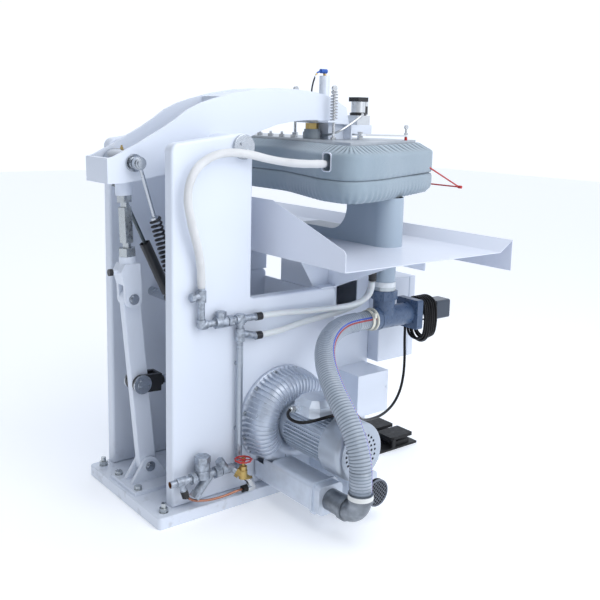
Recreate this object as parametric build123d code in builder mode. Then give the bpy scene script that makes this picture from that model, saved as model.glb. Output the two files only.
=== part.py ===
# Steam utility press, closed, seen mostly from its rear service side.
# Millimetres, +Z up. The origin lies on the floor, under the plane of the head
# arm and half way along the base. The operator stands at the front, towards -Y.
# The service side with the blower faces -X.
import os
from math import atan2, ceil, cos, degrees, hypot, pi, radians, sin, sqrt

from build123d import *

os.makedirs("parts", exist_ok=True)

# Clearances
FACE_GAP = 0.3        # between bodies that move past each other
RUN_FIT = 0.05        # radial, a pin or shaft in its bore
SEAT_GAP = 0.1        # radial, a fixed piece in its hole

# Base plate and its anchors
BASE_THICKNESS = 37
BASE_HALF_LENGTH = 463
BASE_NEAR_X = -270
BASE_FAR_X = 230
BASE_CORNER = 14
ANCHOR_INSET = 36
ANCHOR_R = 8
ANCHOR_STAND = 30

# Side plates, folded hollow from sheet
FRAME_HALF_WIDTH = 229
PLATE_THICKNESS = 45
PLATE_WALL = 5
PLATE_REAR_Y = 393
PLATE_FRONT_Y = -255
PLATE_STEP_Y = 104
PLATE_STEP_Z = 674
PLATE_REAR_TOP_Z = 1168
PLATE_NOSE_TOP_Z = 1207
PLATE_NOSE_R = 46
PLATE_EDGE_R = 8

# Head arm and its pivot
PIVOT_Y = 142
PIVOT_Z = 1159
PIVOT_R = 25
HUB_R = 38
CAP_R = 39
CAP_THICKNESS = 9
ARM_HALF_WIDTH = 75
ARM_WALL = 8
ARM_OPEN_DEG = 26
COVER_REAR_Y = 108
COVER_THICKNESS = 5

# Toggle linkage in the plane X = 0
FOOT_Y = 364
FOOT_Z = 98
KNEE_Y = 417
KNEE_Z = 672
TRUNNION_Y = 436
TRUNNION_Z = 1106
LINK_WIDTH = 60
LINK_THICKNESS = 30
PIN_R = 12
PIN_HALF_LENGTH = 40.5
EAR_THICKNESS = 14
BARREL_R = 38
FORK_PIN_Y = 391
FORK_PIN_Z = 386

# Closing cylinder
CYLINDER_PIVOT_Y = -195
CYLINDER_PIVOT_Z = 350
CYLINDER_R = 54
CYLINDER_CAP = 116
CYLINDER_ROD_R = 14
FORK_CLEARANCE = 7.6

# Return spring and damper beside the toggle
SPRING_X = -110
SPRING_FOOT_Y = 300
SPRING_FOOT_Z = 660
SPRING_COIL_LENGTH = 262
SPRING_COIL_R = 16
SPRING_WIRE_R = 2.9
SPRING_TURNS = 18
DAMPER_X = 60
DAMPER_FOOT_Y = 239
DAMPER_FOOT_Z = 640
DAMPER_HEAD_Y = 425
DAMPER_HEAD_Z = 1033
DAMPER_TUBE_LENGTH = 215
DAMPER_TUBE_R = 18
DAMPER_BORE_R = 15
DAMPER_ROD_R = 6

# Work tray
TRAY_Z = 811
TRAY_SHEET = 3
TRAY_NEAR_X = -600
TRAY_FAR_X = 800
TRAY_REAR_Y = 31
TRAY_FRONT_Y = -670
TRAY_LIP_Y = -730
TRAY_LIP_Z = 848
TRAY_FLAP_Z = 744
TRAY_WALL_TOP = 990
TRAY_END_TOP = 876
TRAY_SLOPE_X = -239

# Pedestal duct, buck and head
DUCT_X = -290
DUCT_Y = -430
DUCT_WIDTH = 110
DUCT_BEAM_TOP = 850
DUCT_BEAM_END = 150
DUCT_THROAT_X = -136
DUCT_THROAT_R = 90
DUCT_WALL = 3
BUCK_Z = 985
SEAM_Z = 1057
HEAD_TOP = 1168
TABLE_THICKNESS = 18
TABLE_INSET = 22
PLATEN_INSET = 62
PLATEN_BOTTOM = 1126
PLATEN_RISE = 8

# Front column, console and pedals
COLUMN_HALF_WIDTH = 94
COLUMN_FRONT_Y = -545
SHEET_WALL = 4
CONSOLE_HALF_WIDTH = 150
CONSOLE_FRONT_Y = -735
CONSOLE_LOW_Z = 333
CONSOLE_TOP_Z = 650
DOOR_THICKNESS = 34
PEDAL_PLATE_THICKNESS = 8
PEDAL_WIDTH = 84
PEDAL_LENGTH = 115
PEDAL_TOP_Z = 48

# Vacuum line
VACUUM_PIPE_R = 37.5
VALVE_Z = 554
VALVE_BODY_R = 40
FLANGE_SIDE = 108
HOSE_R = 34
HOSE_BORE_R = 28.5
HOSE_RIB_HEIGHT = 2.4
HOSE_RIBS = 76
VALVE_CYLINDER_R = 26

# Blower
BLOWER_Y = -25
BLOWER_Z = 258
BLOWER_R = 172
CHANNEL_R = 114
CHANNEL_TUBE_R = 42
MOTOR_R = 80
MOTOR_END_X = -545
COWL_R = 92
COWL_END_X = -632
SILENCER_SIDE = 93
SILENCER_Z = 106
SILENCER_Y = 40
SCREEN_Y = -120

# Steam pipework
PIPE_X = -250
PIPE_R = 10.7
HANDWHEEL_Y = 159
HANDWHEEL_Z = 158
HANDWHEEL_R = 30
INLET_Y = 422
INLET_Z = 142
INLET_BORE_R = 9.3

# Cords
CABLE_R = 5
INSULATION_R = 13
DRAIN_HOSE_R = 10
COIL_LOOPS = 5


def finish(piece, name):
    """Name a finished piece and write it to its own file."""
    piece.part.label = name
    export_step(piece.part, f"parts/{name}.step")


def block(low, high, mode=Mode.ADD):
    """Add or cut a square block between two opposite corners."""
    middle = tuple((a + b) / 2 for a, b in zip(low, high))
    size = [b - a for a, b in zip(low, high)]
    with Locations(middle):
        Box(*size, mode=mode)


def bar(start, end, radius, mode=Mode.ADD):
    """Add or cut a round bar from one point to another."""
    run = Vector(*end) - Vector(*start)
    with BuildSketch(Plane(origin=start, z_dir=run)) as section:
        Circle(radius)
    extrude(section.sketch, amount=run.length, mode=mode)


def taper_bar(start, end, start_r, end_r, mode=Mode.ADD):
    """Add or cut a cone between two points."""
    run = Vector(*end) - Vector(*start)
    first = Plane(origin=start, z_dir=run)
    with BuildSketch(first) as near_end:
        Circle(start_r)
    with BuildSketch(first.offset(run.length)) as far_end:
        Circle(end_r)
    loft([near_end.sketch.face(), far_end.sketch.face()], ruled=True, mode=mode)


def hex_bar(start, end, across_flats, mode=Mode.ADD):
    """Add or cut a hexagonal bar from one point to another."""
    run = Vector(*end) - Vector(*start)
    with BuildSketch(Plane(origin=start, z_dir=run)) as section:
        RegularPolygon(across_flats / sqrt(3), 6)
    extrude(section.sketch, amount=run.length, mode=mode)


def cross_pin(y, z, radius, x_from, x_to, mode=Mode.ADD):
    """Add or cut a round bar that lies along X."""
    bar((x_from, y, z), (x_to, y, z), radius, mode)


def side_profile(points, x_from, x_to, mode=Mode.ADD):
    """Extrude a closed outline of (Y, Z) points between two values of X."""
    with BuildSketch(Plane.YZ.offset(x_from)) as profile:
        with BuildLine():
            Polyline(*points, close=True)
        make_face()
    extrude(profile.sketch, amount=x_to - x_from, mode=mode)


def front_profile(points, y_from, y_to, mode=Mode.ADD):
    """Extrude a closed outline of (X, Z) points between two values of Y."""
    with BuildSketch(Plane(origin=(0, y_from, 0), x_dir=(1, 0, 0), z_dir=(0, -1, 0))) as profile:
        with BuildLine():
            Polyline(*points, close=True)
        make_face()
    extrude(profile.sketch, amount=y_from - y_to, mode=mode)


def rounded_profile(points, radii, plane, amount, mode=Mode.ADD):
    """Extrude a closed outline whose corners each have their own radius."""
    with BuildSketch(plane) as profile:
        with BuildLine():
            FilletPolyline(*points, radius=radii, close=True)
        make_face()
    extrude(profile.sketch, amount=amount, mode=mode)


def bolt(point, direction, thread_r, head_af, head_height, washer=True):
    """Add a washer and a hexagon head, seated at a point and facing a direction."""
    seat = Vector(*point)
    out = Vector(*direction).normalized()
    lift = 0
    if washer:
        lift = thread_r * 0.3
        bar(tuple(seat), tuple(seat + out * lift), head_af * 0.62)
    hex_bar(tuple(seat + out * lift), tuple(seat + out * (lift + head_height)), head_af)


def cord_corners(points):
    """Radii of a cord's corners, each as large as its two runs allow."""
    radii = []
    for before, corner, after in zip(points, points[1:], points[2:]):
        run_in = Vector(*corner) - Vector(*before)
        run_out = Vector(*after) - Vector(*corner)
        turn = radians(run_in.get_angle(run_out))
        shorter = min(run_in.length, run_out.length)
        radii.append(0.45 * shorter * cos(turn / 2) / sin(turn / 2))
    return radii


def cord(points, radius, name):
    """Sweep a round cord along straight runs joined by large arcs."""
    radii = cord_corners(points)
    with BuildLine() as route:
        FilletPolyline(*points, radius=radii)
    first_run = Vector(*points[1]) - Vector(*points[0])
    with BuildSketch(Plane(origin=points[0], z_dir=first_run)) as section:
        Circle(radius)
    sweep(section.sketch, path=route.wire())
    length = route.wire().length
    expected = pi * radius ** 2 * length
    print(f"{name}: length {length:.0f} mm, tightest bend {min(radii):.0f} mm,",
          f"section times length {expected:.0f} mm3")


def biarc(start, start_way, end, end_way):
    """Middle point and middle direction of two arcs that join two points smoothly."""
    chord = end - start
    ways = start_way + end_way
    bend = 2 * (1 - start_way.dot(end_way))
    if bend < 1e-9:
        reach = chord.dot(chord) / (4 * chord.dot(end_way))
    else:
        along = chord.dot(ways)
        reach = (sqrt(along ** 2 + bend * chord.dot(chord)) - along) / bend
    middle = (start + end) * 0.5 + (start_way - end_way) * (reach * 0.5)
    first = (middle - start).normalized()
    return middle, first * (2 * start_way.dot(first)) - start_way


def wound_tube(points, ways, radius, name):
    """Sweep one unbroken tube along arcs that pass through points in given directions."""
    with BuildLine() as route:
        for a, a_way, b, b_way in zip(points, ways, points[1:], ways[1:]):
            middle, middle_way = biarc(a, a_way, b, b_way)
            TangentArc(a, middle, tangent=a_way)
            TangentArc(middle, b, tangent=middle_way)
    with BuildSketch(Plane(origin=points[0], z_dir=ways[0])) as section:
        Circle(radius)
    sweep(section.sketch, path=route.wire())
    print(f"{name}: length {route.wire().length:.0f} mm,",
          f"least gap to itself {least_gap(route.wire(), radius):.1f} mm")


def least_gap(wire, radius):
    """Least clear space between stretches of a tube that lie a turn or more apart."""
    step = radius
    count = ceil(wire.length / step)
    spots = [wire.position_at(i / count) for i in range(count + 1)]
    skip = ceil(pi * radius * 2 / step) + 2
    best = wire.length
    for i, spot in enumerate(spots):
        for other in spots[i + skip:]:
            best = min(best, (other - spot).length)
    return best - 2 * radius


def helix_points(foot, along, side, radius, length, turns):
    """Quarter-turn points and directions of a helix that climbs from its foot."""
    axis = along.normalized()
    across = side.normalized()
    third = axis.cross(across)
    rise = length / turns
    points = []
    ways = []
    for step in range(4 * turns + 1):
        angle = step * pi / 2
        spoke = across * cos(angle) + third * sin(angle)
        round_way = third * cos(angle) - across * sin(angle)
        points.append(foot + axis * (rise * step / 4) + spoke * radius)
        ways.append((round_way * (2 * pi * radius) + axis * rise).normalized())
    return points, ways


# Base plate, resting on the floor
base_middle_x = (BASE_NEAR_X + BASE_FAR_X) / 2
base_length_x = BASE_FAR_X - BASE_NEAR_X
anchor_spots = [
    (x, y)
    for x in (BASE_NEAR_X + ANCHOR_INSET, BASE_FAR_X - ANCHOR_INSET)
    for y in (-BASE_HALF_LENGTH + ANCHOR_INSET, BASE_HALF_LENGTH - ANCHOR_INSET)
]
with BuildPart() as base_plate:
    with BuildSketch() as base_outline:
        with Locations((base_middle_x, 0)):
            RectangleRounded(base_length_x, 2 * BASE_HALF_LENGTH, BASE_CORNER)
    extrude(amount=BASE_THICKNESS)
    chamfer(base_plate.faces().sort_by(Axis.Z)[-1].edges(), 2)
    for x, y in anchor_spots:
        bar((x, y, 0), (x, y, BASE_THICKNESS), ANCHOR_R + SEAT_GAP, mode=Mode.SUBTRACT)
finish(base_plate, "base_plate")

# Side plates: a low body and a tall rear part that carries the pivot
plate_outline = [
    (PLATE_REAR_Y, BASE_THICKNESS),
    (PLATE_REAR_Y, PLATE_REAR_TOP_Z),
    (PLATE_STEP_Y, PLATE_NOSE_TOP_Z),
    (PLATE_STEP_Y, PLATE_STEP_Z),
    (PLATE_FRONT_Y, PLATE_STEP_Z),
    (PLATE_FRONT_Y, BASE_THICKNESS),
]
plate_radii = [0.5, 28, PLATE_NOSE_R, 12, 20, 0.5]
plate_inner_x = FRAME_HALF_WIDTH - PLATE_THICKNESS


def side_plate(outer_x, inner_x):
    """Build one hollow side plate between its outer and inner face."""
    low_x = min(outer_x, inner_x)
    with BuildPart() as plate:
        rounded_profile(plate_outline, plate_radii, Plane.YZ.offset(low_x), PLATE_THICKNESS)
        faces = plate.faces().sort_by(Axis.X)
        rims = (faces[0].edges() + faces[-1].edges()).filter_by(
            lambda edge: edge.center().Z > BASE_THICKNESS + 1
        )
        fillet(rims, PLATE_EDGE_R)
        with BuildSketch(Plane.YZ.offset(low_x + PLATE_WALL)) as hollow:
            with BuildLine():
                FilletPolyline(*plate_outline, radius=plate_radii, close=True)
            make_face()
            offset(amount=-PLATE_WALL, kind=Kind.INTERSECTION)
        extrude(hollow.sketch, amount=PLATE_THICKNESS - 2 * PLATE_WALL, mode=Mode.SUBTRACT)
        block(
            (low_x + PLATE_WALL, PLATE_FRONT_Y + PLATE_WALL + 1, BASE_THICKNESS),
            (low_x + PLATE_THICKNESS - PLATE_WALL, PLATE_REAR_Y - PLATE_WALL - 1, BASE_THICKNESS + 6),
            mode=Mode.SUBTRACT,
        )
        cross_pin(PIVOT_Y, PIVOT_Z, PIVOT_R + SEAT_GAP, low_x - 1, low_x + PLATE_THICKNESS + 1,
                  mode=Mode.SUBTRACT)
    return plate


near_side_plate = side_plate(-FRAME_HALF_WIDTH, -plate_inner_x)
finish(near_side_plate, "near_side_plate")
far_side_plate = side_plate(FRAME_HALF_WIDTH, plate_inner_x)
finish(far_side_plate, "far_side_plate")

# Cross members that tie the side plates together
TIE_THICKNESS = 8
TIE_TOP_Z = 1080
with BuildPart() as cross_members:
    block((-plate_inner_x, PLATE_FRONT_Y, BASE_THICKNESS),
          (plate_inner_x, PLATE_FRONT_Y + TIE_THICKNESS, PLATE_STEP_Z - 30))
    block((-plate_inner_x, PLATE_STEP_Y + 4, PLATE_STEP_Z + 20),
          (plate_inner_x, PLATE_STEP_Y + 4 + TIE_THICKNESS, TIE_TOP_Z))
finish(cross_members, "cross_members")

# Pivot shaft with its end caps and their screws
cap_out_x = FRAME_HALF_WIDTH + CAP_THICKNESS
CAP_SCREW_R = 5.5
CAP_SCREW_SPREAD = 17
with BuildPart() as pivot_shaft:
    cross_pin(PIVOT_Y, PIVOT_Z, PIVOT_R, -FRAME_HALF_WIDTH, FRAME_HALF_WIDTH)
    for end in (-1, 1):
        cross_pin(PIVOT_Y, PIVOT_Z, CAP_R, end * FRAME_HALF_WIDTH, end * cap_out_x)
    fillet(pivot_shaft.edges().filter_by(GeomType.CIRCLE).group_by(Axis.X)[0], 2)
    fillet(pivot_shaft.edges().filter_by(GeomType.CIRCLE).group_by(Axis.X)[-1], 2)
    for end in (-1, 1):
        for way in (-1, 1):
            cross_pin(PIVOT_Y + way * CAP_SCREW_SPREAD * 0.6, PIVOT_Z + way * CAP_SCREW_SPREAD * 0.6,
                      CAP_SCREW_R, end * cap_out_x, end * (cap_out_x + 4))
finish(pivot_shaft, "pivot_shaft")

# Foot of the toggle: a bolted plate with two round-topped ears
FOOT_PLATE_TOP = 50
FOOT_HALF_WIDTH = 90
FOOT_REAR_Y = 450
FOOT_FRONT_Y = 278
ear_in = LINK_THICKNESS / 2 + 1
ear_out = ear_in + EAR_THICKNESS
EAR_R = 31
foot_bolt_x = FOOT_HALF_WIDTH - 20
foot_bolt_spots = [(x, y) for x in (-foot_bolt_x, foot_bolt_x) for y in (FOOT_FRONT_Y + 22, FOOT_REAR_Y - 20)]
with BuildPart() as toggle_foot:
    block((-FOOT_HALF_WIDTH, FOOT_FRONT_Y, BASE_THICKNESS), (FOOT_HALF_WIDTH, FOOT_REAR_Y, FOOT_PLATE_TOP))
    for side in (-1, 1):
        low_x = min(side * ear_in, side * ear_out)
        side_profile(
            [(FOOT_FRONT_Y + 18, FOOT_PLATE_TOP - 1), (FOOT_REAR_Y - 18, FOOT_PLATE_TOP - 1),
             (FOOT_Y + EAR_R * 0.9, FOOT_Z + EAR_R * 0.42), (FOOT_Y - EAR_R * 0.9, FOOT_Z + EAR_R * 0.42)],
            low_x, low_x + EAR_THICKNESS)
        cross_pin(FOOT_Y, FOOT_Z, EAR_R, low_x, low_x + EAR_THICKNESS)
    cross_pin(FOOT_Y, FOOT_Z, PIN_R + SEAT_GAP, -ear_out - 1, ear_out + 1, mode=Mode.SUBTRACT)
finish(toggle_foot, "toggle_foot")

# Bolts of the frame: four floor anchors and four bolts of the foot
with BuildPart() as frame_bolts:
    for x, y in anchor_spots:
        bar((x, y, 0.5), (x, y, BASE_THICKNESS + ANCHOR_STAND), ANCHOR_R)
        bolt((x, y, BASE_THICKNESS), (0, 0, 1), ANCHOR_R, 24, 13)
    for x, y in foot_bolt_spots:
        bolt((x, y, FOOT_PLATE_TOP), (0, 0, 1), 7, 22, 10)
finish(frame_bolts, "frame_bolts")

# Fixed pins: toggle foot, closing cylinder, return spring and damper anchors
RING_R = 17
EYE_PIN_R = 8
EYE_HALF = 8
EYE_R = 17
with BuildPart() as fixed_pins:
    cross_pin(FOOT_Y, FOOT_Z, PIN_R, -PIN_HALF_LENGTH, PIN_HALF_LENGTH)
    for side in (-1, 1):
        cross_pin(FOOT_Y, FOOT_Z, RING_R, side * (ear_out + 0.1), side * (ear_out + 3))
    cross_pin(CYLINDER_PIVOT_Y, CYLINDER_PIVOT_Z, PIN_R, -plate_inner_x, plate_inner_x)
    cross_pin(SPRING_FOOT_Y, SPRING_FOOT_Z, EYE_PIN_R, -plate_inner_x, SPRING_X + EYE_HALF + 5)
    cross_pin(SPRING_FOOT_Y, SPRING_FOOT_Z, 16, -plate_inner_x, SPRING_X - EYE_HALF - FACE_GAP)
    cross_pin(DAMPER_FOOT_Y, DAMPER_FOOT_Z, EYE_PIN_R, DAMPER_X - EYE_HALF - 5, plate_inner_x)
    cross_pin(DAMPER_FOOT_Y, DAMPER_FOOT_Z, 16, DAMPER_X + EYE_HALF + FACE_GAP, plate_inner_x)
finish(fixed_pins, "fixed_pins")

# Front column that carries the tray and the console, with a valve box on its side
VALVE_BOX_REAR_Y = -376
VALVE_BOX_FRONT_Y = -527
VALVE_BOX_LOW_Z = 168
VALVE_BOX_TOP_Z = 325
with BuildPart() as front_column:
    block((-COLUMN_HALF_WIDTH, COLUMN_FRONT_Y, BASE_THICKNESS), (COLUMN_HALF_WIDTH, PLATE_FRONT_Y, TRAY_Z))
    fillet(front_column.edges().filter_by(Axis.Z), 5)
    block((-COLUMN_HALF_WIDTH + SHEET_WALL, COLUMN_FRONT_Y + SHEET_WALL, BASE_THICKNESS),
          (COLUMN_HALF_WIDTH - SHEET_WALL, PLATE_FRONT_Y - SHEET_WALL, TRAY_Z - SHEET_WALL),
          mode=Mode.SUBTRACT)
    block((-COLUMN_HALF_WIDTH - 1, -477, 566), (-COLUMN_HALF_WIDTH + SHEET_WALL + 1, -375, 650),
          mode=Mode.SUBTRACT)
    block((-FRAME_HALF_WIDTH, VALVE_BOX_FRONT_Y, VALVE_BOX_LOW_Z),
          (-COLUMN_HALF_WIDTH, VALVE_BOX_REAR_Y, VALVE_BOX_TOP_Z))
    block((-FRAME_HALF_WIDTH + SHEET_WALL, VALVE_BOX_FRONT_Y + SHEET_WALL, VALVE_BOX_LOW_Z + SHEET_WALL),
          (-COLUMN_HALF_WIDTH, VALVE_BOX_REAR_Y - SHEET_WALL, VALVE_BOX_TOP_Z - SHEET_WALL),
          mode=Mode.SUBTRACT)
    bar((-FRAME_HALF_WIDTH, VALVE_BOX_FRONT_Y + 8, 262), (-FRAME_HALF_WIDTH - 3, VALVE_BOX_FRONT_Y + 8, 262), 4)
finish(front_column, "front_column")

# Control console with a hinged door on its front
door_back_y = CONSOLE_FRONT_Y + DOOR_THICKNESS
HINGE_R = 5
with BuildPart() as front_console:
    block((-CONSOLE_HALF_WIDTH, door_back_y, CONSOLE_LOW_Z), (CONSOLE_HALF_WIDTH, COLUMN_FRONT_Y, CONSOLE_TOP_Z))
    fillet(front_console.edges().filter_by(Axis.Z), 5)
    block((-CONSOLE_HALF_WIDTH + SHEET_WALL, door_back_y, CONSOLE_LOW_Z + SHEET_WALL),
          (CONSOLE_HALF_WIDTH - SHEET_WALL, COLUMN_FRONT_Y - SHEET_WALL, CONSOLE_TOP_Z - SHEET_WALL),
          mode=Mode.SUBTRACT)
    bar((-104, COLUMN_FRONT_Y, 375), (-104, COLUMN_FRONT_Y + 4, 375), 6)
    bar((CONSOLE_HALF_WIDTH + HINGE_R, door_back_y, CONSOLE_LOW_Z + 60),
        (CONSOLE_HALF_WIDTH + HINGE_R, door_back_y, CONSOLE_TOP_Z - 60), HINGE_R - RUN_FIT)
    block((CONSOLE_HALF_WIDTH, door_back_y, CONSOLE_LOW_Z + 60),
          (CONSOLE_HALF_WIDTH + 2, door_back_y + 20, CONSOLE_TOP_Z - 60))
finish(front_console, "front_console")
with BuildPart() as console_door:
    block((-CONSOLE_HALF_WIDTH, CONSOLE_FRONT_Y, CONSOLE_LOW_Z),
          (CONSOLE_HALF_WIDTH, door_back_y - FACE_GAP, CONSOLE_TOP_Z))
    fillet(console_door.edges().filter_by(Axis.Z), 5)
    block((CONSOLE_HALF_WIDTH - 0.5, CONSOLE_FRONT_Y + 12, CONSOLE_TOP_Z - 58),
          (CONSOLE_HALF_WIDTH + 3, door_back_y - HINGE_R - 1, CONSOLE_TOP_Z - 22))
    bar((CONSOLE_HALF_WIDTH + HINGE_R, door_back_y, CONSOLE_TOP_Z - 58),
        (CONSOLE_HALF_WIDTH + HINGE_R, door_back_y, CONSOLE_TOP_Z - 22), HINGE_R)
    block((CONSOLE_HALF_WIDTH + 0.5, door_back_y - HINGE_R - 4, CONSOLE_TOP_Z - 58),
          (CONSOLE_HALF_WIDTH + 3, door_back_y - FACE_GAP, CONSOLE_TOP_Z - 22))
finish(console_door, "console_door")

# Floor plate with the two pedal valves, and the pedals on it
pedal_rear_y = COLUMN_FRONT_Y - 11
pedal_spots = {"near_pedal": -190, "far_pedal": -83}
PEDAL_HINGE_Z = 34
PEDAL_HINGE_R = 5
PEDAL_THICKNESS = 12
pedal_hinge_y = pedal_rear_y - 8
valve_half_width = PEDAL_WIDTH / 2 - 8
with BuildPart() as pedal_plate:
    block((-235, -693, 0), (-40, -BASE_HALF_LENGTH, PEDAL_PLATE_THICKNESS))
    for x in pedal_spots.values():
        block((x - valve_half_width, pedal_rear_y - PEDAL_LENGTH + 12, PEDAL_PLATE_THICKNESS),
              (x + valve_half_width, pedal_rear_y - 18, 24))
        for side in (-1, 1):
            block((x + side * (PEDAL_WIDTH / 2 + 4.3) - 4, pedal_hinge_y - 8, PEDAL_PLATE_THICKNESS),
                  (x + side * (PEDAL_WIDTH / 2 + 4.3) + 4, pedal_hinge_y + 8, PEDAL_HINGE_Z + 8))
        cross_pin(pedal_hinge_y, PEDAL_HINGE_Z, PEDAL_HINGE_R - RUN_FIT,
                  x - PEDAL_WIDTH / 2 - 1, x + PEDAL_WIDTH / 2 + 1)
finish(pedal_plate, "pedal_plate")

for pedal_name, pedal_x in pedal_spots.items():
    with BuildPart() as pedal:
        block((pedal_x - PEDAL_WIDTH / 2, pedal_rear_y - PEDAL_LENGTH, PEDAL_TOP_Z - PEDAL_THICKNESS),
              (pedal_x + PEDAL_WIDTH / 2, pedal_rear_y, PEDAL_TOP_Z))
        fillet(pedal.edges().filter_by(Axis.Z), 6)
        cross_pin(pedal_hinge_y, PEDAL_HINGE_Z, PEDAL_HINGE_R + 4, pedal_x - 30, pedal_x + 30)
        cross_pin(pedal_hinge_y, PEDAL_HINGE_Z, PEDAL_HINGE_R, pedal_x - 60, pedal_x + 60,
                  mode=Mode.SUBTRACT)
    finish(pedal, pedal_name)

# Lower link of the toggle, a long bar from the foot to the knee
link_half = LINK_THICKNESS / 2
KNEE_EAR_R = 29
with BuildPart() as lower_link:
    link_way = Vector(0, KNEE_Y - FOOT_Y, KNEE_Z - FOOT_Z)
    with BuildSketch(Plane(origin=(-link_half, FOOT_Y, FOOT_Z), x_dir=link_way, z_dir=(1, 0, 0))) as link_face:
        with Locations((link_way.length / 2, 0)):
            SlotCenterToCenter(link_way.length, LINK_WIDTH)
    extrude(link_face.sketch, amount=LINK_THICKNESS)
    fillet(lower_link.faces().sort_by(Axis.X)[0].edges(), 3)
    fillet(lower_link.faces().sort_by(Axis.X)[-1].edges(), 3)
    cross_pin(FOOT_Y, FOOT_Z, PIN_R + RUN_FIT, -link_half - 1, link_half + 1, mode=Mode.SUBTRACT)
    cross_pin(KNEE_Y, KNEE_Z, PIN_R + SEAT_GAP, -link_half - 1, link_half + 1, mode=Mode.SUBTRACT)
    cross_pin(FORK_PIN_Y, FORK_PIN_Z, PIN_R + SEAT_GAP, -link_half - 1, link_half + 1, mode=Mode.SUBTRACT)
finish(lower_link, "lower_link")

# Pins that ride on the lower link, with their washers and retaining rings
FORK_EAR_R = 29
WASHER_R = 31
fork_ear_in = link_half + 1
fork_ear_out = fork_ear_in + EAR_THICKNESS
with BuildPart() as link_pins:
    for y, z in ((KNEE_Y, KNEE_Z), (FORK_PIN_Y, FORK_PIN_Z)):
        cross_pin(y, z, PIN_R, -PIN_HALF_LENGTH, PIN_HALF_LENGTH)
    for side in (-1, 1):
        cross_pin(KNEE_Y, KNEE_Z, RING_R, side * (ear_out + FACE_GAP), side * (ear_out + 4))
        cross_pin(FORK_PIN_Y, FORK_PIN_Z, WASHER_R, side * (fork_ear_out + FACE_GAP), side * (fork_ear_out + 7))
        cross_pin(FORK_PIN_Y, FORK_PIN_Z, RING_R, side * (fork_ear_out + 7), side * (fork_ear_out + 10))
finish(link_pins, "link_pins")

# Upper clevis: two ears about the knee and a solid neck above the bar
NECK_LOW_Z = 718
NECK_TOP_Z = 808
neck_half = 29
rod_way = Vector(0, TRUNNION_Y - KNEE_Y, TRUNNION_Z - KNEE_Z).normalized()


def on_rod(z):
    """Point of the upper link's axis at a height."""
    return (0, KNEE_Y + rod_way.Y * (z - KNEE_Z) / rod_way.Z, z)


with BuildPart() as upper_clevis:
    for side in (-1, 1):
        low_x = min(side * ear_in, side * ear_out)
        side_profile([(KNEE_Y - KNEE_EAR_R, KNEE_Z), (KNEE_Y + KNEE_EAR_R, KNEE_Z),
                      (KNEE_Y + KNEE_EAR_R + 2, NECK_LOW_Z + 20), (KNEE_Y - KNEE_EAR_R + 2, NECK_LOW_Z + 20)],
                     low_x, low_x + EAR_THICKNESS)
        cross_pin(KNEE_Y, KNEE_Z, KNEE_EAR_R, low_x, low_x + EAR_THICKNESS)
    side_profile([(KNEE_Y - KNEE_EAR_R + 2, NECK_LOW_Z), (KNEE_Y + KNEE_EAR_R + 2, NECK_LOW_Z),
                  (KNEE_Y + KNEE_EAR_R + 14, NECK_LOW_Z + 44), (KNEE_Y + KNEE_EAR_R, NECK_TOP_Z - 22),
                  (KNEE_Y - KNEE_EAR_R + 6, NECK_TOP_Z - 22)], -ear_out, ear_out)
    bar(on_rod(NECK_TOP_Z - 30), on_rod(NECK_TOP_Z), neck_half - 2)
    bar((0, KNEE_Y + KNEE_EAR_R + 6, NECK_LOW_Z + 42), (0, KNEE_Y + KNEE_EAR_R + 30, NECK_LOW_Z + 42), 7)
    bar((0, KNEE_Y + KNEE_EAR_R + 30, NECK_LOW_Z + 42), (0, KNEE_Y + KNEE_EAR_R + 42, NECK_LOW_Z + 42), 11)
    cross_pin(KNEE_Y, KNEE_Z, PIN_R + RUN_FIT, -ear_out - 1, ear_out + 1, mode=Mode.SUBTRACT)
finish(upper_clevis, "upper_clevis")

# Turnbuckle with its threaded ends and lock nuts
NUT_AF = 44
with BuildPart() as turnbuckle:
    hex_bar(on_rod(NECK_TOP_Z), on_rod(NECK_TOP_Z + 27), NUT_AF + 4)
    bar(on_rod(NECK_TOP_Z + 27), on_rod(NECK_TOP_Z + 44), 13)
    hex_bar(on_rod(NECK_TOP_Z + 44), on_rod(964), 40)
    bar(on_rod(964), on_rod(980), 13)
    hex_bar(on_rod(980), on_rod(1002), NUT_AF)
finish(turnbuckle, "turnbuckle")

# Trunnion barrel inside the arm, with its boss and grease nipple
barrel_half = ARM_HALF_WIDTH - ARM_WALL - 7
BOSS_R = 27
with BuildPart() as trunnion_barrel:
    cross_pin(TRUNNION_Y, TRUNNION_Z, BARREL_R, -barrel_half, barrel_half)
    bar(on_rod(1002), on_rod(TRUNNION_Z - 10), BOSS_R)
    bar(on_rod(TRUNNION_Z + BARREL_R - 1), on_rod(TRUNNION_Z + BARREL_R + 6), 5)
    bar(on_rod(TRUNNION_Z + BARREL_R + 6), on_rod(TRUNNION_Z + BARREL_R + 12), 3)
finish(trunnion_barrel, "trunnion_barrel")

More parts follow.
